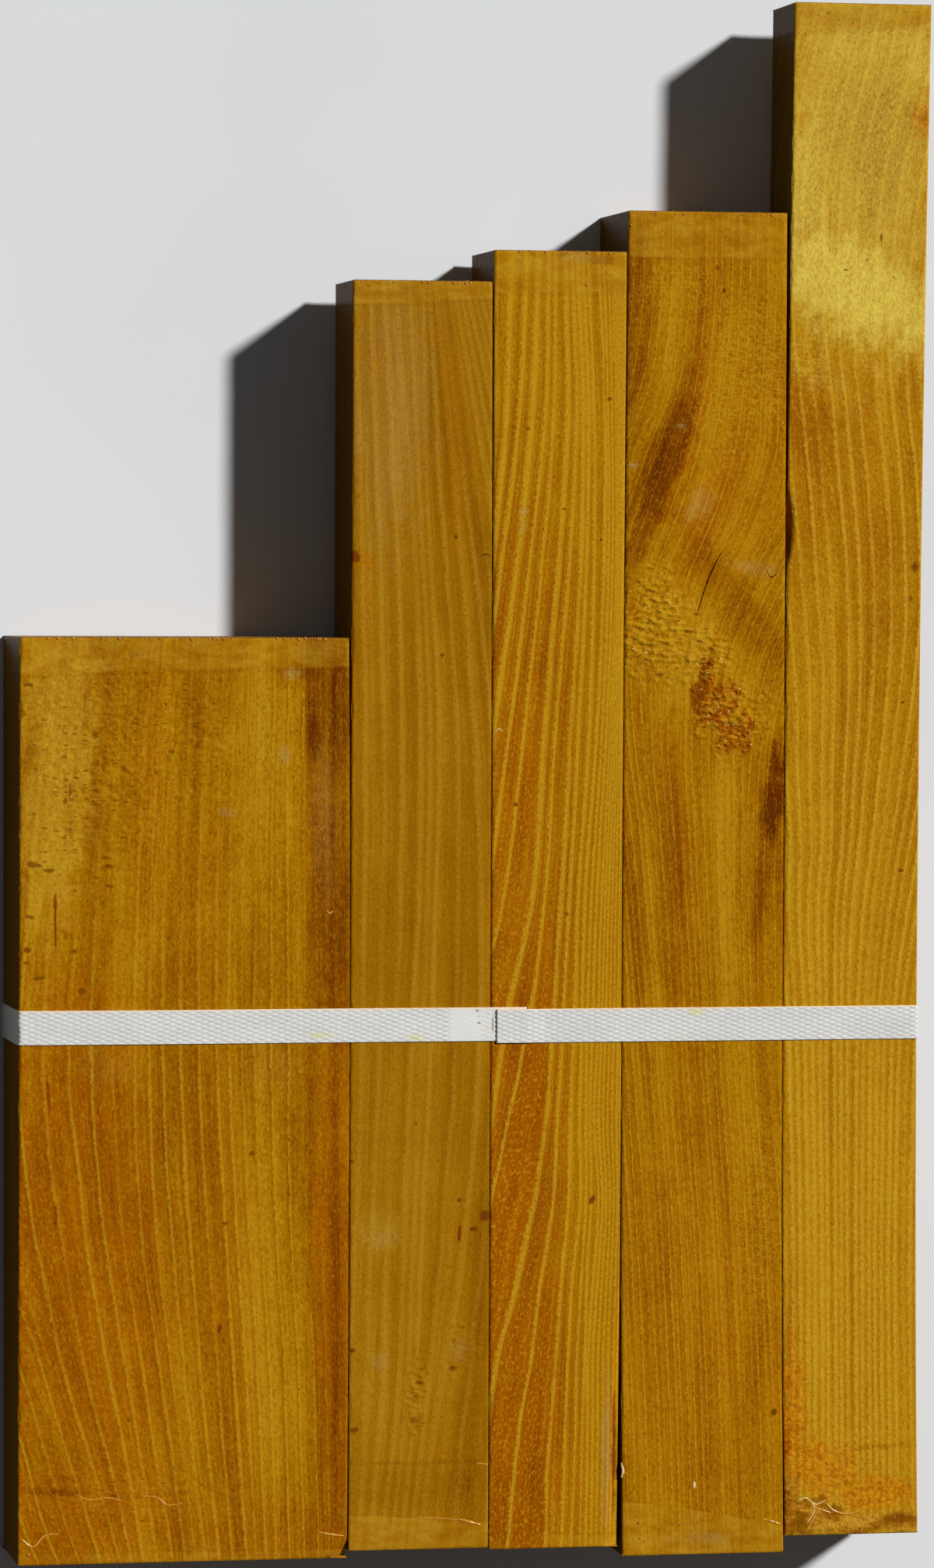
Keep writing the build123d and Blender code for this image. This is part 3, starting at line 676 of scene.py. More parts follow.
def end_cap(solid, ring_points, start, counts, first_new, toward):
    """A grid that closes one end of a board. Returns its new points and its faces."""
    n_front, n_side, n_back = counts
    corners = list(accumulate((start, n_front, n_side, n_back, n_side)))
    front, right, back, left = (list(range(*pair)) for pair in zip(corners, corners[1:]))
    back.reverse()
    left.reverse()
    place = {index: ring_points[index - start] for index in front + right + back + left}
    new_points, faces = [], []
    above = front
    for i in range(n_side):
        row = [left[i]]
        z_left, z_right = place[left[i]][2], place[right[i]][2]
        for k in range(1, n_front - 1):
            x, y, _ = place[front[k]]
            s = (x - place[front[0]][0]) / (place[front[-1]][0] - place[front[0]][0])
            z = z_left + s * (z_right - z_left)
            found = solid.cast((x, y + toward * 8, z), (0, -toward, 0), (x, y, z))
            if abs(found.y - y) > END_REACH:
                found = Vector((x, y, z))
            row.append(first_new + len(new_points))
            new_points.append(tuple(found))
        row.append(right[i])
        for k in range(n_front - 1):
            faces.append((above[k], row[k], row[k + 1], above[k + 1]))
        above = row
    faces += stitch(above, back)
    if toward > 0:
        faces = [face[::-1] for face in faces]
    return new_points, faces


def board(name):
    """A board's detailed mesh, with what its wood looks like at each point."""
    solid, points, n_front, n_side, n_back = board_points(name)
    rows, ring = points.shape[:2]
    faces = ring_faces(rows, ring)
    counts = (n_front, n_side, n_back)
    everything = [tuple(p) for p in points.reshape(-1, 3)]
    last = (rows - 1) * ring
    foot_points, foot_faces = end_cap(solid, points[0], 0, counts, len(everything), -1)
    everything += foot_points
    head_points, head_faces = end_cap(solid, points[-1], last, counts, len(everything), 1)
    everything += head_points
    faces += foot_faces + head_faces

    place = np.array(everything)
    x, y, z = place.T.copy()
    depth = FRONT - z
    on_end = np.zeros(len(place))
    on_end[rows * ring:] = 1
    in_ring = np.arange(len(place)) % ring
    body = np.arange(len(place)) < rows * ring
    on_front = body & (in_ring < n_front)
    on_left = body & (in_ring >= n_front + n_side + n_back)

    ring_number, spacing, line_width = rings(name, x, y, depth)
    masks = {kind: np.zeros(len(place)) for kind in KINDS}
    near_front = 1 - fade(depth, 3, 9)
    for found in (masks_of(MARKS[name], x, y), masks_of(SWATHS[name], ring_number, y, RAGGED_RING)):
        for kind, mask in found.items():
            masks[kind] = np.maximum(masks[kind], mask * near_front)
    wax_head, wax_foot = (np.interp(x, [p[0] for p in line], [p[1] for p in line]) for line in WAX[name])
    uneven = 0.35 * noise(x / 9, y / 9, 21) + 0.12 * noise(x / 2, y / 2, 22)
    wax = np.maximum(y - wax_head, wax_foot - y) + uneven
    tone = np.interp(ring_number, *zip(*TONES[name])) + 0.10 * noise(x / 14, y / 60, 31)

    # Relief: torn grain sinks in, and the arrises are a little worn
    torn = masks["torn"] * (1 - on_end)
    pits = np.clip(noise(x / 3.4, y / 2.4, 41) * 0.9 + noise(x / 1.8, y / 1.4, 42) * 0.35 - 0.2, 0, 1)
    z -= np.where(on_front, TORN_DEPTH * torn * pits, 0)
    worn = np.clip(noise(y / 4, x * 0 + 3, 51) + 0.4 * noise(y / 2, x * 0 + 9, 52), 0, 1)
    edge = on_front & ((in_ring < 3) | (in_ring >= n_front - 3))
    z -= np.where(edge, WORN_DEPTH * worn, 0)
    # The shade value marks the left sides, whose wood gets a painted shade
    return built(name + "_looks", np.stack([x, y, z], axis=1), faces, {
        "ring": ring_number, "spacing": spacing, "line": line_width, "tone": tone, "wax": wax,
        "end": on_end, "shade": on_left, **masks,
    })


# The strap
def crossing(a, b, c, d):
    """Where the line through a and b meets the line through c and d."""
    run, other = b - a, d - c
    t = ((c - a).cross(other)) / run.cross(other)
    return a + t * run


def strap_route():
    """The middle of the strap's thickness, from its under end round the pack to its over end, as x and z."""
    solid = solid_of("strap")
    low, high = solid.low, solid.high
    middle = (low.y + high.y) / 2
    half = STRAP_THICK / 2

    def below(x):
        return Vector((x, solid.meet((x, middle, low.z), (0, 0, 1)).z))

    left = solid.meet((low.x, middle, 26), (1, 0, 0)).x + half
    right = solid.meet((high.x, middle, 40), (-1, 0, 0)).x - half
    top = FRONT + 0.05 + half
    # Behind, it runs from board 1 to board 4, along board 4, and up to board 5
    lines = []
    for start, end in ((-150, 30), (70, 100), (130, 155)):
        run = below(end) - below(start)
        lift = Vector((-run.y, run.x)).normalized() * half
        lines.append((below(start) + lift, below(end) + lift))
    left_edge = (Vector((left, 0)), Vector((left, 10)))
    right_edge = (Vector((right, 0)), Vector((right, 10)))
    return middle, [
        Vector((UNDER_END, top)),
        Vector((left, top)),
        crossing(*lines[0], *left_edge),
        crossing(*lines[0], *lines[1]),
        crossing(*lines[1], *lines[2]),
        crossing(*lines[2], *right_edge),
        Vector((right, top)),
        Vector((RAMP_FOOT, top)),
        Vector((UNDER_END, top + STRAP_THICK)),
        Vector((OVER_END, top + STRAP_THICK)),
    ]


def rounded(corners, radius, step):
    """Points along straight runs whose corners are rounded."""
    points = [corners[0]]

    def run_to(end):
        start = points[-1]
        count = max(1, round((end - start).length / step))
        points.extend(start.lerp(end, i / count) for i in range(1, count + 1))

    for before, corner, after in zip(corners, corners[1:], corners[2:]):
        into, out = (corner - before).normalized(), (after - corner).normalized()
        cut = min(radius * np.tan(into.angle(out) / 2) * 1.15, (after - corner).length / 2.2)
        start, end = corner - into * cut, corner + out * cut
        run_to(start)
        bends = max(2, round(2 * cut / step * 2))
        for i in range(1, bends + 1):
            t = i / bends
            points.append(start.lerp(corner, t).lerp(corner.lerp(end, t), t))
    run_to(corners[-1])
    return points


def strap():
    """The strap's detailed mesh: a flat band with diamonds pressed into its outer face."""
    middle, corners = strap_route()
    route = np.array([tuple(p) for p in rounded(corners, 1.2, STRAP_STEP)])
    tangent = np.gradient(route, axis=0)
    tangent /= np.linalg.norm(tangent, axis=1)[:, None]
    outward = np.stack([tangent[:, 1], -tangent[:, 0]], axis=1)
    walked = np.concatenate([[0], np.cumsum(np.linalg.norm(np.diff(route, axis=0), axis=1))])
    half_width, half = STRAP_WIDTH / 2, STRAP_THICK / 2
    columns = half_width * np.linspace(-1, 1, STRAP_COLUMNS)
    back_columns = half_width * np.linspace(1, -1, 5)
    # The left run lies a little higher than the right one, and each wanders slightly
    share = fade(walked, 0.35 * walked[-1], 0.62 * walked[-1])
    shift = 0.42 - 0.70 * share + 0.12 * noise(walked / 70, walked * 0, 61)

    s, a = np.meshgrid(walked, columns, indexing="ij")
    one = np.abs(np.sin(pi * (s / DIAMOND_LENGTH + a / DIAMOND_HEIGHT)))
    other = np.abs(np.sin(pi * (s / DIAMOND_LENGTH - a / DIAMOND_HEIGHT)))
    groove = 1 - fade(np.minimum(one, other), 0.0, 0.55)
    x_here = route[:, 0][:, None] + 0 * s
    on_front = (route[:, 1][:, None] > FRONT) & (s < 60)
    pressed = np.where(on_front, fade(x_here, PRESSED_FROM - 2, PRESSED_FROM + 1), 0)
    pressed = pressed * (1 - 0.5 * fade(x_here, 0.5, 2.5))
    sink = DIAMOND_DEPTH * groove * (1 - 0.85 * pressed) + 0.06 * pressed
    edge = fade(np.abs(a), half_width - 0.5, half_width)
    sink = sink * (1 - edge) + 0.05 * edge
    ripple = 0.04 * noise(s / 11, a / 6, 62)
    out = half - sink - 0.04 + ripple

    def face(out, across):
        """Points so far out from the middle of the thickness, at these places across the strap."""
        x, z = (route[:, axis, None] + outward[:, axis, None] * out for axis in (0, 1))
        return np.stack([x + 0 * across, middle + across + shift[:, None], z + 0 * across], axis=-1)

    points = np.concatenate([face(out, a), face(-half, back_columns)], axis=1)
    rows, ring = points.shape[:2]
    faces = ring_faces(rows, ring)
    faces.append(list(range(ring))[::-1])
    faces.append([(rows - 1) * ring + k for k in range(ring)])
    smooth, warm, painted_groove_shade = np.zeros((3, rows, ring))
    smooth[:, :STRAP_COLUMNS] = pressed
    # Painted highlight along the strap's upper edge, where the sun catches it
    warm[:, :STRAP_COLUMNS] = fade(a, half_width - 0.7, half_width - 0.2)
    # Painted shade in the grooves between the diamonds, where the strap isn't pressed flat
    painted_groove_shade[:, :STRAP_COLUMNS] = groove ** 2 * (1 - pressed)
    x, y, z = points.reshape(-1, 3).T
    marks = {kind: mask * (z > FRONT) for kind, mask in masks_of(STRAP_MARKS, x, y).items()}
    values = {"pressed": smooth, "groove": painted_groove_shade, "warm": warm, **marks}
    return built("strap_looks", points.reshape(-1, 3), faces, values)


# Small things that stand on the boards
def surface(name, x, y):
    """The height of a board's front under a place."""
    return solid_of(name).cast((x, y, FRONT + 9), (0, 0, -1), (x, y, FRONT)).z


def gathered(name, mesh):
    """A piece made from a bmesh."""
    data = bpy.data.meshes.new(name)
    mesh.to_mesh(data)
    mesh.free()
    return smooth_piece(name, data)


def drops(name, random):
    """Drops of wax, each a flattened ball half sunk in the front."""
    mesh = bmesh.new()
    places = list(DROPS[name])
    for count, left, right, foot, head, largest in STREWN[name]:
        for _ in range(count):
            radius = random.uniform(0.4, 1) * largest
            places.append((random.uniform(left, right), random.uniform(foot, head), radius))
    for x, y, radius in places:
        z = surface(name, x, y)
        size = Vector((radius, radius * random.uniform(0.9, 1.3), radius * 0.7))
        place = Matrix.Translation(Vector((x, y, z - 0.1 * radius)) * MM)
        size = Matrix.Diagonal(size * MM).to_4x4()
        bmesh.ops.create_icosphere(mesh, subdivisions=2, radius=1.0, matrix=place @ size)
    return gathered(name + "_drops", mesh)


def tube(mesh, line, radii, sides=6, flat=1.0):
    """A closed tapering tube along a line of points."""
    rings_made = []
    for i, (point, radius) in enumerate(zip(line, radii)):
        before, after = line[max(0, i - 1)], line[min(len(line) - 1, i + 1)]
        forward = (after - before).normalized()
        aside = forward.cross(Vector((0, 0, 1)))
        aside = aside.normalized() if aside.length > 0.01 else Vector((1, 0, 0))
        lift = aside.cross(forward)
        rings_made.append([
            mesh.verts.new((point + aside * (cos(2 * pi * k / sides) * radius)
                            + lift * (sin(2 * pi * k / sides) * radius * flat)) * MM)
            for k in range(sides)
        ])
    for one, two in zip(rings_made, rings_made[1:]):
        for k in range(sides):
            mesh.faces.new((one[k], one[(k + 1) % sides], two[(k + 1) % sides], two[k]))
    mesh.faces.new(rings_made[0][::-1])
    mesh.faces.new(rings_made[-1])


def strands(name, kind, random):
    """The splits, ridges or fibres of one kind on a board."""
    mesh = bmesh.new()
    for radius, flat, line in STRANDS[name][kind]:
        reach = np.linspace(0, len(line) - 1, 6 * len(line))
        xs = curve(range(len(line)), [p[0] for p in line], reach)
        ys = curve(range(len(line)), [p[1] for p in line], reach)
        points = [Vector((x, y, surface(name, x, y) - 0.02)) for x, y in zip(xs, ys)]
        share = np.linspace(0, 1, len(points))
        radii = radius * (0.25 + 0.75 * np.sin(pi * share) ** 0.6) * random.uniform(0.8, 1.2, len(points))
        tube(mesh, points, radii, flat=flat)
    bmesh.ops.recalc_face_normals(mesh, faces=mesh.faces)
    return gathered(f"{name}_{kind}", mesh)


def fuzz(name, random):
    """Torn fibres along the cut edge at a board's head."""
    solid = solid_of(name)
    mesh = bmesh.new()
    width = solid.high.x - solid.low.x
    for _ in range(round(width * 1.2)):
        x = random.uniform(solid.low.x + 1, solid.high.x - 1)
        z = FRONT - 0.3 - abs(random.normal(0, 0.5))
        y = solid.meet((x, solid.high.y, z - 1), (0, -1, 0)).y
        length = random.uniform(0.15, 0.7)
        if name == "board_5":
            length = min(length, 0.35)
        end = Vector((random.normal(0, 0.5), length, random.normal(0.1, 0.35)))
        start = Vector((x, y - 0.5, z))
        bow = Vector((random.normal(0, 0.25), length * 0.4, random.normal(0.2, 0.2)))
        line = [start + bow * (4 * t * (1 - t)) * 0.5 + end * t for t in (0, 0.35, 0.7, 1)]
        tube(mesh, line, [0.16, 0.13, 0.09, 0.03], sides=4)
    bmesh.ops.recalc_face_normals(mesh, faces=mesh.faces)
    return gathered(name + "_fuzz", mesh)


# Materials
def arithmetic(operation, turned=False):
    """A sum with a number in a shader, as a method. Turned, that number comes second."""

    def apply(self, other):
        pair = (other, self) if turned else (self, other)
        return self.shader.math(operation, *pair)
    return apply


class Value:
    """A number in a shader, so that sums can be written plainly."""

    def __init__(self, shader, socket):
        self.shader, self.socket = shader, socket

    __add__ = __radd__ = arithmetic("ADD")
    __mul__ = __rmul__ = arithmetic("MULTIPLY")
    __sub__ = arithmetic("SUBTRACT")
    __rsub__ = arithmetic("SUBTRACT", turned=True)


class Shader:
    """Short calls that build the nodes of one material, or of the room round the pack."""

    def __init__(self, owner):
        owner.use_nodes = True
        self.owner = owner
        self.nodes = owner.node_tree.nodes
        self.links = owner.node_tree.links
        self.nodes.clear()
        self.base = None

    def put(self, socket, value):
        """Gives a socket a value of this shader, a plain number, or a colour in screen values."""
        if isinstance(value, Value):
            self.links.new(value.socket, socket)
        else:
            socket.default_value = colour(value) if isinstance(value, tuple) else value

    def node(self, kind, inputs, **settings):
        """A new node with its settings, and its inputs by name or number."""
        node = self.nodes.new("ShaderNode" + kind)
        for key, value in settings.items():
            setattr(node, key, value)
        for key, value in inputs.items():
            self.put(node.inputs[key], value)
        return node

    def value(self, kind, inputs, output=0, **settings):
        """What a new node gives."""
        return Value(self, self.node(kind, inputs, **settings).outputs[output])

    def math(self, operation, *values):
        return self.value("Math", dict(enumerate(values)), operation=operation)

    def attribute(self, name):
        return self.value("Attribute", {}, "Fac", attribute_name=name)

    def parts(self, kind, whole):
        """The parts of a vector or a colour."""
        return [Value(self, output) for output in self.node(kind, {0: whole}).outputs]

    def place(self):
        """The point's place in millimetres, as x, y and z."""
        return [part * 1000.0 for part in self.parts("SeparateXYZ", self.value("TexCoord", {}, "Object"))]

    def vector(self, x, y, z=0.0):
        return self.value("CombineXYZ", {"X": x, "Y": y, "Z": z})

    def noise(self, x, y, z=0.0, detail=2.0, rough=0.5):
        inputs = {"Scale": 1.0, "Detail": detail, "Roughness": rough, "Vector": self.vector(x, y, z)}
        return self.value("TexNoise", inputs, "Fac")

    def cells(self, x, y):
        """Scattered places: how far the nearest one is, and two random numbers of its own."""
        node = self.node("TexVoronoi", {"Scale": 1.0, "Vector": self.vector(x, y)}, voronoi_dimensions="2D")
        chosen, size, _ = self.parts("SeparateColor", Value(self, node.outputs["Color"]))
        return Value(self, node.outputs["Distance"]), chosen, size

    def step(self, value, start, end):
        """0 at start, 1 at end, smooth between them."""
        return self.value("MapRange", {"Value": value, "From Min": start, "From Max": end},
                          interpolation_type="SMOOTHSTEP")

    def near(self, value, reach):
        """1 where a value is 0, and 0 where it is further from that than the reach."""
        return 1.0 - self.step(self.math("ABSOLUTE", value), 0.0, reach)

    def ramp(self, value, stops):
        """Colours that blend into each other along a value."""
        node = self.node("ValToRGB", {0: value})
        elements = node.color_ramp.elements
        while len(elements) < len(stops):
            elements.new(0.5)
        for element, (position, shade) in zip(elements, stops):
            element.position = position
            element.color = colour(shade)
        return Value(self, node.outputs[0])

    def mix(self, share, first, second):
        node = self.node("Mix", {"Factor": share}, data_type="RGBA")
        sockets = {socket.name: socket for socket in node.inputs if socket.type == "RGBA"}
        self.put(sockets["A"], first)
        self.put(sockets["B"], second)
        return Value(self, next(socket for socket in node.outputs if socket.type == "RGBA"))

    def paint(self, share, shade):
        """Lays a shade over what is there, as strongly as the share says."""
        self.base = self.mix(share, self.base, shade)

    def seen(self):
        """1 for rays that come from the camera, straight or by way of glass or gloss, and 0 for others."""
        rays = self.node("LightPath", {}).outputs
        straight, through, glossy = (
            Value(self, rays[f"Is {kind} Ray"]) for kind in ("Camera", "Transmission", "Glossy")
        )
        return self.math("MAXIMUM", self.math("MAXIMUM", straight, through), glossy)

    def output(self, kind, surface):
        self.links.new(surface.outputs[0], self.node(kind, {}).inputs["Surface"])
        return self.owner

    def finish(self, roughness, shine, height=None):
        """The whole material. The height of its bumps is in millimetres."""
        inputs = {"Base Color": self.base, "Roughness": roughness, "Specular IOR Level": shine}
        if height:
            inputs["Normal"] = self.value("Bump", {"Strength": 1.0, "Distance": MM, "Height": height})
        return self.output("OutputMaterial", self.node("BsdfPrincipled", inputs))


def shader(name):
    return Shader(bpy.data.materials.new(name))


# How each board's wood differs. The pitch is the usual distance between rings, in millimetres, and the others
# are strengths: of bands, streaks, threads, vessels, speckle and the hammered look, of the pale lines and how
# much they fade, of the flecks, and of the relief and the chips where the grain is torn.
TRAITS = ("pitch", "broad", "streaks", "threads", "vessels", "speckle", "hammer", "lines", "fading", "flecks",
          "torn", "chips")
CHARACTER = {
    "board_1": (5.5, 0.9, 0.7, 0.45, 0.5, 1.0, 0.4, 0.80, 0.7, 0.35, 0.4, 0.2),
    "board_2": (6.5, 0.6, 0.7, 0.45, 0.5, 1.0, 0.15, 0.60, 0.7, 0.2, 0.6, 0.12),
    "board_3": (5.0, 0.6, 0.7, 0.6, 0.8, 1.0, 0.15, 0.95, 0.1, 0.5, 0.4, 0.1),
    "board_4": (3.0, 0.9, 0.8, 0.5, 0.5, 1.1, 0.4, 0.85, 0.7, 0.35, 1.0, 0.14),
    "board_5": (4.5, 0.6, 0.7, 0.5, 0.6, 1.25, 0.5, 0.80, 0.5, 0.4, 0.4, 0.1),
}


class Wood(Shader):
    """Oiled hardwood with the board's own grain, marks and waxed ends."""

    def __init__(self, name):
        super().__init__(bpy.data.materials.new(name + "_wood_looks"))
        self.dark, self.middle, self.pale, self.line_colour = WOOD[name]
        self.traits = dict(zip(TRAITS, CHARACTER[name]))
        self.kinds = set(MARKS[name])
        self.seed = 13.7 * (1 + BOARDS.index(name))
        self.x, self.y, self.z = self.place()
        self.spacing = self.attribute("spacing")
        self.torn = self.attribute("torn")
        self.relief = []

    def lumps(self, across, up, deep, **settings):
        """The board's own noise along a value across it, so fine up the board and so fine into it."""
        return self.noise(across, self.y * up, self.z * deep + self.seed, **settings)

    def spots(self, wide, high, share, more):
        """Scattered ragged spots of that size in millimetres. The share says how many places have one."""
        offset = self.seed + more
        x, y = self.x * (0.8 / wide), self.y * (0.8 / high)
        ragged = self.noise(self.x * (1.8 / wide), self.y * (1.8 / high), offset, detail=0.0) - 0.5
        away, chosen, size = self.cells(x + offset, y + offset)
        reach = size * 0.22 + 0.2
        there = self.step(share - chosen, 0.0, 0.02)
        return (1.0 - self.step(away + ragged * 0.35, reach * 0.5, reach)) * there

    def crisp(self, kind):
        """Where a kind of mark is, with ragged edges."""
        return self.step(self.attribute(kind) + self.ragged * 0.5, 0.15, 0.7)

    def line_at(self, ring, spacing, half_width, ragged):
        """Where the lines at whole rings show, from 0 to 1, and where the painted shadow on their left sides
        does.
        """
        aside = (self.math("FRACT", ring + 0.5) - 0.5) * spacing + ragged
        line = 1.0 - self.step(self.math("ABSOLUTE", aside), half_width * 0.2, half_width * 1.5)
        beside = self.math("ABSOLUTE", aside + half_width * 2.2)
        return line, 1.0 - self.step(beside, half_width * 0.3, half_width * 1.6)

    def grain(self):
        """Bands, streaks and vessels that follow the rings, in the board's own colours."""
        traits, pitch = self.traits, self.traits["pitch"]
        # The grain wanders a little, and everything that follows it wanders with it
        ring = self.attribute("ring")
        self.wander = self.lumps(ring * 0.8, 0.03, 0.03) - 0.5
        self.ring = ring + self.wander * 0.22
        grain = self.ring * pitch
        broad = self.noise(grain * 0.09, self.y * 0.008, self.seed, detail=1.0) - 0.5
        self.streak = self.lumps(grain * 0.35, 0.012, 0.02) - 0.5
        thread = self.lumps(grain * 1.1, 0.03, 0.05, detail=1.0) - 0.5
        # Where the rings spread apart, the vessels keep their size, and where they crowd, they are fainter
        apart = self.step(self.spacing, pitch * 1.1, pitch * 1.9)
        crowded = 1.0 - self.step(self.spacing, pitch * 0.3, pitch * 0.9) * 0.6
        self.close = self.lumps(grain * 1.5, 0.6, 0.5, detail=1.0)
        self.wide = self.lumps(grain * 3.0, 0.6, 0.5, detail=1.0)
        self.vessel = self.close + (self.wide - self.close) * apart - 0.5
        cloud = self.lumps(self.x * 0.07, 0.05, 0.07) - 0.5
        self.speckle = self.lumps(self.x * 1.1, 0.9, 1.1, rough=0.65) - 0.5
        self.hammer = self.lumps(self.x * 0.6, 0.7, 0.6, detail=1.0) - 0.5
        self.ragged = self.noise(self.x * 1.1, self.y * 1.1, self.seed, detail=1.0) - 0.5
        along_grain = self.streak * traits["streaks"] + thread * traits["threads"]
        along_grain = along_grain + self.vessel * traits["vessels"]
        value = (self.attribute("tone") + 0.5 + broad * traits["broad"] + cloud * 0.5
                 + along_grain * (1.6 - crowded) + self.speckle * traits["speckle"]
                 + self.attribute("olive") * 0.22 + self.attribute("light") * 0.15
                 - self.attribute("deep") * 0.62)
        # The ramp starts below 0, where the deep patches are
        value = value * 0.67 + 0.33
        self.base = self.ramp(value, palette(DEEP, self.dark, self.middle, self.pale))
        self.paint(self.attribute("orange") * 0.8, self.ramp(value, ORANGE))
        self.paint(self.attribute("olive") * 0.35, self.ramp(value, YELLOW))

    def flecks(self):
        """Short pale and dark flecks along the grain."""
        share = self.traits["flecks"]
        self.paint(self.step(self.wide, 0.56, 0.70) * share, self.line_colour)
        self.paint((1.0 - self.step(self.close, 0.30, 0.44)) * share, self.dark)

    def lines(self):
        """Pale growth lines where the ring number is whole, with a painted shadow on the left of each, and
        finer ones between them.
        """
        here = self.noise(self.math("ROUND", self.ring) * 7.3, self.y * 0.006, self.seed, detail=1.0)
        kept = 1.0 - (1.0 - self.step(here, 0.25, 0.55)) * self.traits["fading"]
        kept = kept * (1.0 - self.attribute("plain")) * (1.0 - self.attribute("deep") * 0.6)
        kept = kept * (0.8 + self.speckle * 2.2)
        frayed = self.vessel * 1.2 + self.speckle * 0.9
        line, beside = self.line_at(self.ring, self.spacing, self.attribute("line") * 0.5, frayed)
        finer = self.ring * 3.0 + self.wander * 1.5
        fine, _ = self.line_at(finer, self.spacing * 0.33, 0.16, self.vessel * 0.5)
        kept = kept * (1.0 - self.torn * 0.7)
        # Painted shadow: a darker band on the left of each pale line, away from the sun
        self.paint(beside * kept * 0.35, self.dark)
        self.paint(fine * kept * (self.traits["lines"] * 0.35), self.line_colour)
        self.paint(line * kept * self.traits["lines"], self.line_colour)
        return line

    def curly(self):
        """Cross ripple on curly grain: thin pale threads across the rings."""
        across = self.near(self.lumps(self.x * 0.15 + self.y * 0.1, 0.55, 0.1, detail=1.0) - 0.5, 0.14)
        curl = across * self.attribute("curl") * self.step(self.speckle, -0.15, 0.1)
        self.paint(curl * 0.85, self.line_colour)
        return curl

    def marks(self):
        """Patches and small marks that every board may have."""
        light = 0.78 + self.speckle * 0.9 + self.vessel * 1.3
        grey = 0.7 + self.streak * 2.0 + self.speckle * 1.5
        self.paint(self.attribute("light") * light, SHADES["light"])
        self.paint(self.attribute("grey") * grey, SHADES["grey"])
        self.paint(self.crisp("brown") * (0.75 + self.speckle * 0.8), SHADES["brown"])
        self.paint(self.crisp("red") * 0.85, SHADES["red"])

    def amber(self):
        """Wood stained amber."""
        amber = self.attribute("amber")
        amber = self.step(amber + self.ragged * 1.2 + self.vessel, 0.25, 1.0) * self.step(amber, 0.0, 0.25)
        self.paint(amber * 0.7, self.ramp(self.hammer + 0.5, RAMPS["amber"]))
        self.relief.append(amber * self.hammer * 0.4)

    def bark(self):
        """Where the bark was."""
        self.paint(self.attribute("bark"), SHADES["bark"])

    def pits(self):
        """Small pits, painted darker: partly their own colour, partly painted shade in them."""
        self.paint(self.spots(0.7, 0.6, self.attribute("pits") * 0.2, 0.0) * 0.45, SHADES["pit"])

    def knot(self):
        """The knot, dark and resinous, with a few painted glints."""
        knot = self.crisp("knot")
        self.paint(knot * 0.85, self.ramp(self.ragged * 0.8 + self.streak + 0.5, RAMPS["knot"]))
        # Painted highlights: a few bright glints on the knot
        self.paint(self.spots(1.1, 0.6, knot * 0.05, 5.0) * 0.85, SHADES["painted_glint"])
        self.relief.append(knot * self.hammer * 0.7)

    def torn_grain(self):
        """Short chips out of torn grain, darkened partly as painted shade, with painted highlights on the
        lumps and a few painted specks of shine.
        """
        share = self.traits["torn"]
        lumps = self.noise(self.x * 0.35, self.y * 0.6, self.seed + 2.0, detail=0.0)
        # Painted highlight on the raised lumps, as if the sun catches them
        self.paint(self.torn * share * self.step(lumps, 0.42, 0.62) * 0.5, SHADES["painted_lump_highlight"])
        chip = self.spots(3.0, 1.0, self.torn * self.traits["chips"], 0.0)
        # The chips are painted dark: partly their own colour, partly painted shade in the hollows
        chip = self.math("MAXIMUM", chip * (0.8 - self.attribute("knot") * 0.7), self.crisp("chip"))
        self.paint(chip * 0.75, SHADES["chip"])
        # Painted highlights: a few specks of shine
        self.paint(self.spots(0.8, 0.6, self.torn * (0.03 * share), 3.0) * 0.8, SHADES["painted_shine"])
        self.relief.append(self.torn * (lumps + self.hammer * 0.4) * share - chip * 0.12)

    def wax(self):
        """Wax on the ends: lighter, with a soft limit. Returns where it is, and how blotched."""
        wax = self.attribute("wax")
        waxed = self.step(wax, -0.7, 0.9)
        blot = self.lumps(self.x * 0.1, 0.2, 0.2, rough=0.6)
        self.paint(waxed * (0.45 - self.attribute("orange") * 0.4), self.ramp(blot, RAMPS["wax"]))
        self.paint(self.near(wax + 0.7, 0.9) * (1.0 - waxed) * 0.12, SHADES["rim"])
        return waxed, blot

    def ends(self):
        """End grain is darker, with the rings as fine arcs, and the left sides are painted darker as shade.
        """
        arcs = self.noise(self.ring * 3.0, 0.0, self.seed)
        self.paint(self.attribute("end") * 0.75, self.ramp(arcs, RAMPS["end"]))
        # Painted shade: the left sides turn dark brown, as if out of the sun
        self.paint(self.attribute("shade") * 0.8, SHADES["side"])

    def resin(self, blot):
        """Resin that has run over the wax, blotched as the wax is. Returns where it is."""
        resin = self.crisp("resin")
        self.paint(resin * 0.85, self.ramp(blot + self.ragged * 0.4, RAMPS["resin"]))
        self.relief.append(resin * (blot * 0.6 + self.hammer * 0.4))
        return resin

    def whole(self):
        """The material, built up from the grain to the wax on the ends."""
        self.grain()
        self.flecks()
        line, curl = self.lines(), self.curly()
        self.marks()
        some_have = (
            ("amber", self.amber), ("bark", self.bark), ("pits", self.pits), ("knot", self.knot),
            ("torn", self.torn_grain),
        )
        for kind, lay in some_have:
            if kind in self.kinds:
                lay()
        waxed, blot = self.wax()
        smooth = waxed * 0.12
        if "resin" in self.kinds:
            smooth = smooth + self.resin(blot) * 0.2
        self.ends()
        height = (self.vessel * 0.05 + self.speckle * 0.07 + self.hammer * (self.traits["hammer"] * 0.3)
                  + line * 0.02 + curl * 0.06 + waxed * 0.03 + waxed * blot * 0.15)
        return self.finish(self.speckle * 0.4 + 0.48 - smooth, 0.01, sum(self.relief, height))


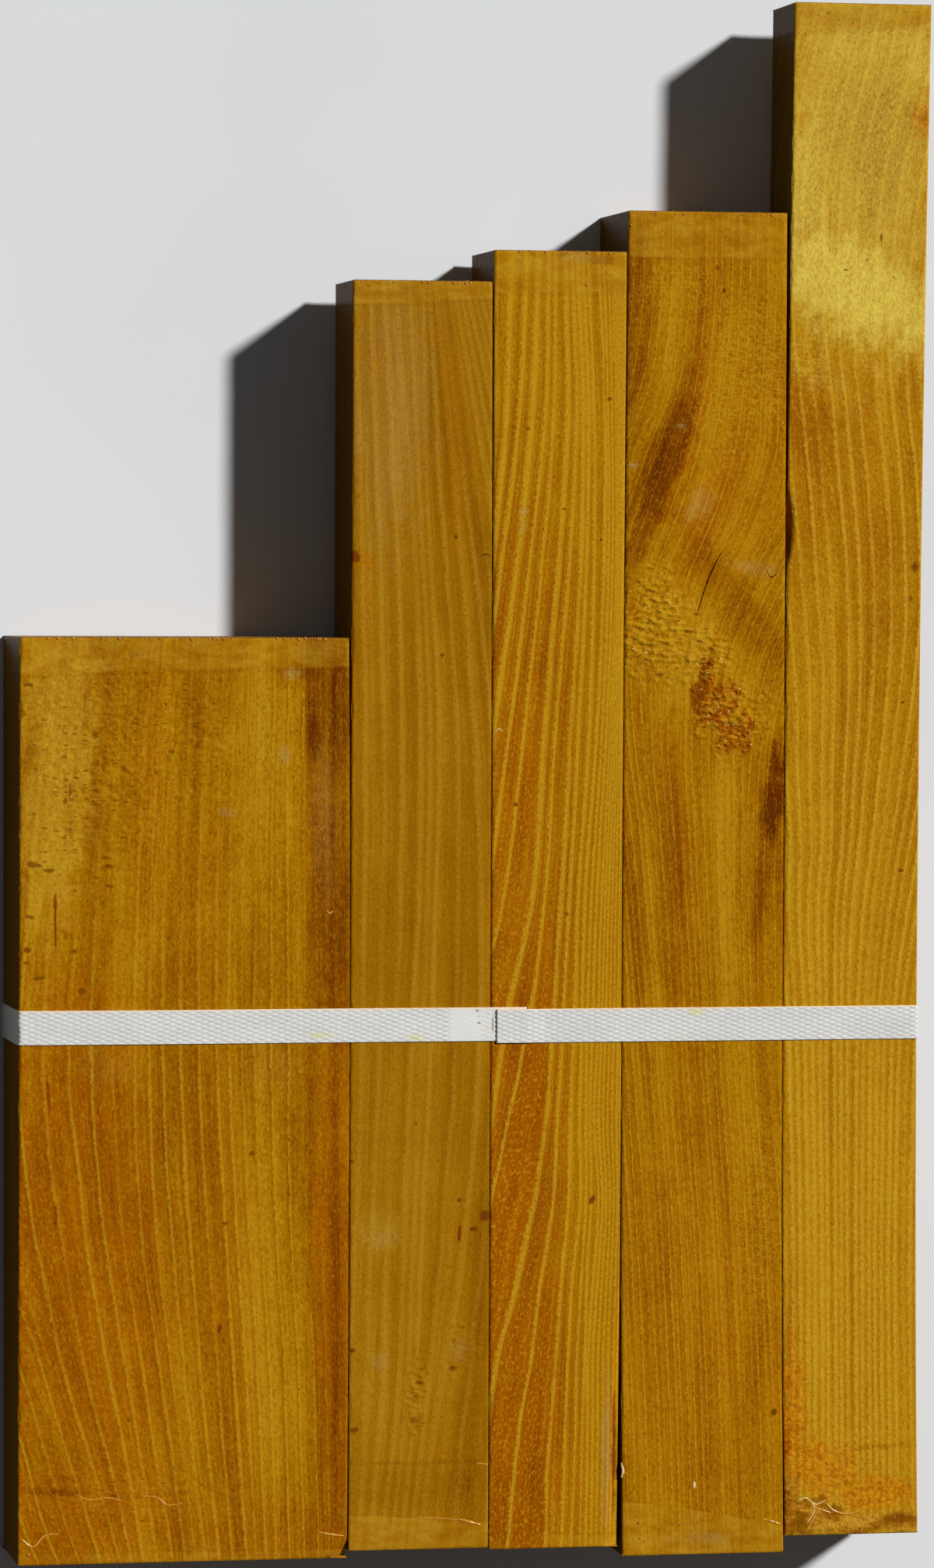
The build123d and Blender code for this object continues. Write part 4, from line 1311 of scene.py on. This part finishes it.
def strap_plastic():
    """White plastic strapping, a little dull and stained, with painted shade in its grooves and on its left
    turn, and a painted highlight on its upper edge.
    """
    s = shader("strap_looks")
    x, y, z = s.place()
    grain = s.noise(x * 1.6, y * 1.6, z * 1.6)
    s.base = s.ramp(s.noise(x * 0.05, y * 0.12, z * 0.05, detail=3.0), RAMPS["strap"])
    # Painted shade in the grooves between the diamonds
    s.paint(s.attribute("groove") * 0.8, SHADES["groove"])
    cloud = s.step(s.noise(x * 0.11, y * 0.5, z * 0.1 + 4.0), 0.60, 0.75)
    s.paint(cloud * 0.25, SHADES["cloud"])
    s.paint(s.attribute("stain") * 0.6, SHADES["stain"])
    speck = s.step(s.noise(x * 1.1, y * 1.3, z + 8.0, detail=1.0), 0.72, 0.78)
    s.paint(speck * 0.5, SHADES["speck"])
    s.paint(s.attribute("pressed") * 0.4, SHADES["pressed"])
    # Painted highlight: a warm light along the upper edge
    s.paint(s.attribute("warm") * (grain * 1.2), SHADES["warm"])
    s.paint(s.attribute("scuff") * (0.4 + grain), SHADES["scuff"])
    # Painted shade: the strap's left turn is dark grey, as if out of the sun
    s.paint(s.attribute("shade") * 0.95, SHADES["strap side"])
    return s.finish(0.42 + (grain - 0.5) * 0.2, 0.2, (grain - 0.5) * 0.05)


# The stuff of drops, splits, wax ridges, pale fibres and fuzz: its dark and its pale shade, roughness, shine,
# and how fine its mottle is
STUFF = {
    "drop": ((138, 72, 4), (196, 130, 30), 0.25, 0.3, 1.2),
    "split": ((46, 20, 2), (74, 34, 4), 0.8, 0.02, 0.9),
    "wax": ((176, 112, 16), (206, 148, 40), 0.2, 0.4, 0.9),
    "pale": ((198, 168, 104), (224, 200, 144), 0.5, 0.4, 0.9),
    "fuzz": ((150, 92, 30), (206, 140, 66), 0.6, 0.4, 0.9),
}


def stuff(kind):
    """A mottled material for small things."""
    dark, pale, rough, shine, fine = STUFF[kind]
    s = shader(kind + "_looks")
    s.base = s.ramp(s.noise(*(axis * fine for axis in s.place())), ((0.3, dark), (0.7, pale)))
    return s.finish(rough, shine)


def put(piece, material, replaced):
    """Gives a piece its material and its place in the frame."""
    piece.data.materials.append(material)
    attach(piece, "root")
    if replaced:
        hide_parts(replaced)


def camera():
    """The camera that took the photograph."""
    data = bpy.data.cameras.new("camera")
    data.lens = CAMERA_LENS
    piece = in_scene("camera", data)
    look = (Matrix.Rotation(radians(CAMERA_ROLL), 3, "Z")
            @ Matrix.Rotation(radians(CAMERA_TIP), 3, "X")
            @ Matrix.Rotation(radians(CAMERA_TURN), 3, "Y")).transposed()
    place = (Vector(CAMERA_TARGET) + look @ Vector((0, 0, CAMERA_DISTANCE))) * MM
    piece.matrix_world = Matrix.Translation(place) @ look.to_4x4()
    bpy.context.scene.camera = piece


def lights():
    """A soft sun, and a dim room that looks brighter than the light that it gives."""
    direction = Vector(SUN_DIRECTION).normalized()
    data = bpy.data.lights.new("sun", "SUN")
    data.energy = pi * SUN_ON_FRONT / direction.z
    data.angle = radians(SUN_WIDTH)
    in_scene("sun", data).rotation_euler = direction.to_track_quat("Z", "Y").to_euler()

    world = bpy.data.worlds.new("room")
    bpy.context.scene.world = world
    s = Shader(world)
    level = s.value("MapRange", {"Value": s.seen(), "To Min": ROOM_LIGHT, "To Max": ROOM_SEEN})
    s.output("OutputWorld", s.node("Background", {"Color": (255, 255, 255), "Strength": level}))


def floor():
    """A pale floor under the pack, which lights it less than it looks."""
    mesh = bpy.data.meshes.new("floor")
    corners = [(FLOOR_HALF * x, FLOOR_HALF * y, 0) for x, y in ((-1, -1), (1, -1), (1, 1), (-1, 1))]
    mesh.from_pydata(corners, [], [(0, 1, 2, 3)])
    piece = in_scene("floor", mesh)
    s = shader("floor_looks")
    x, y, _ = s.place()
    seen = s.ramp(s.noise(x * 0.004, y * 0.004, detail=3.0), RAMPS["floor"])
    s.base = s.mix(s.seen(), SHADES["floor"], seen)
    mesh.materials.append(s.finish(0.9, 0.1))


camera()
lights()
floor()
dice = np.random.default_rng(7)
materials = {kind: stuff(kind) for kind in STUFF}
for board_name in BOARDS:
    put(board(board_name), Wood(board_name).whole(), board_name)
    put(drops(board_name, dice), materials["drop"], None)
    put(fuzz(board_name, dice), materials["fuzz"], None)
    for kind_name in sorted(STRANDS[board_name]):
        put(strands(board_name, kind_name, dice), materials[kind_name], None)
put(strap(), strap_plastic(), "strap")

bpy.context.scene.view_settings.view_transform = "Standard"
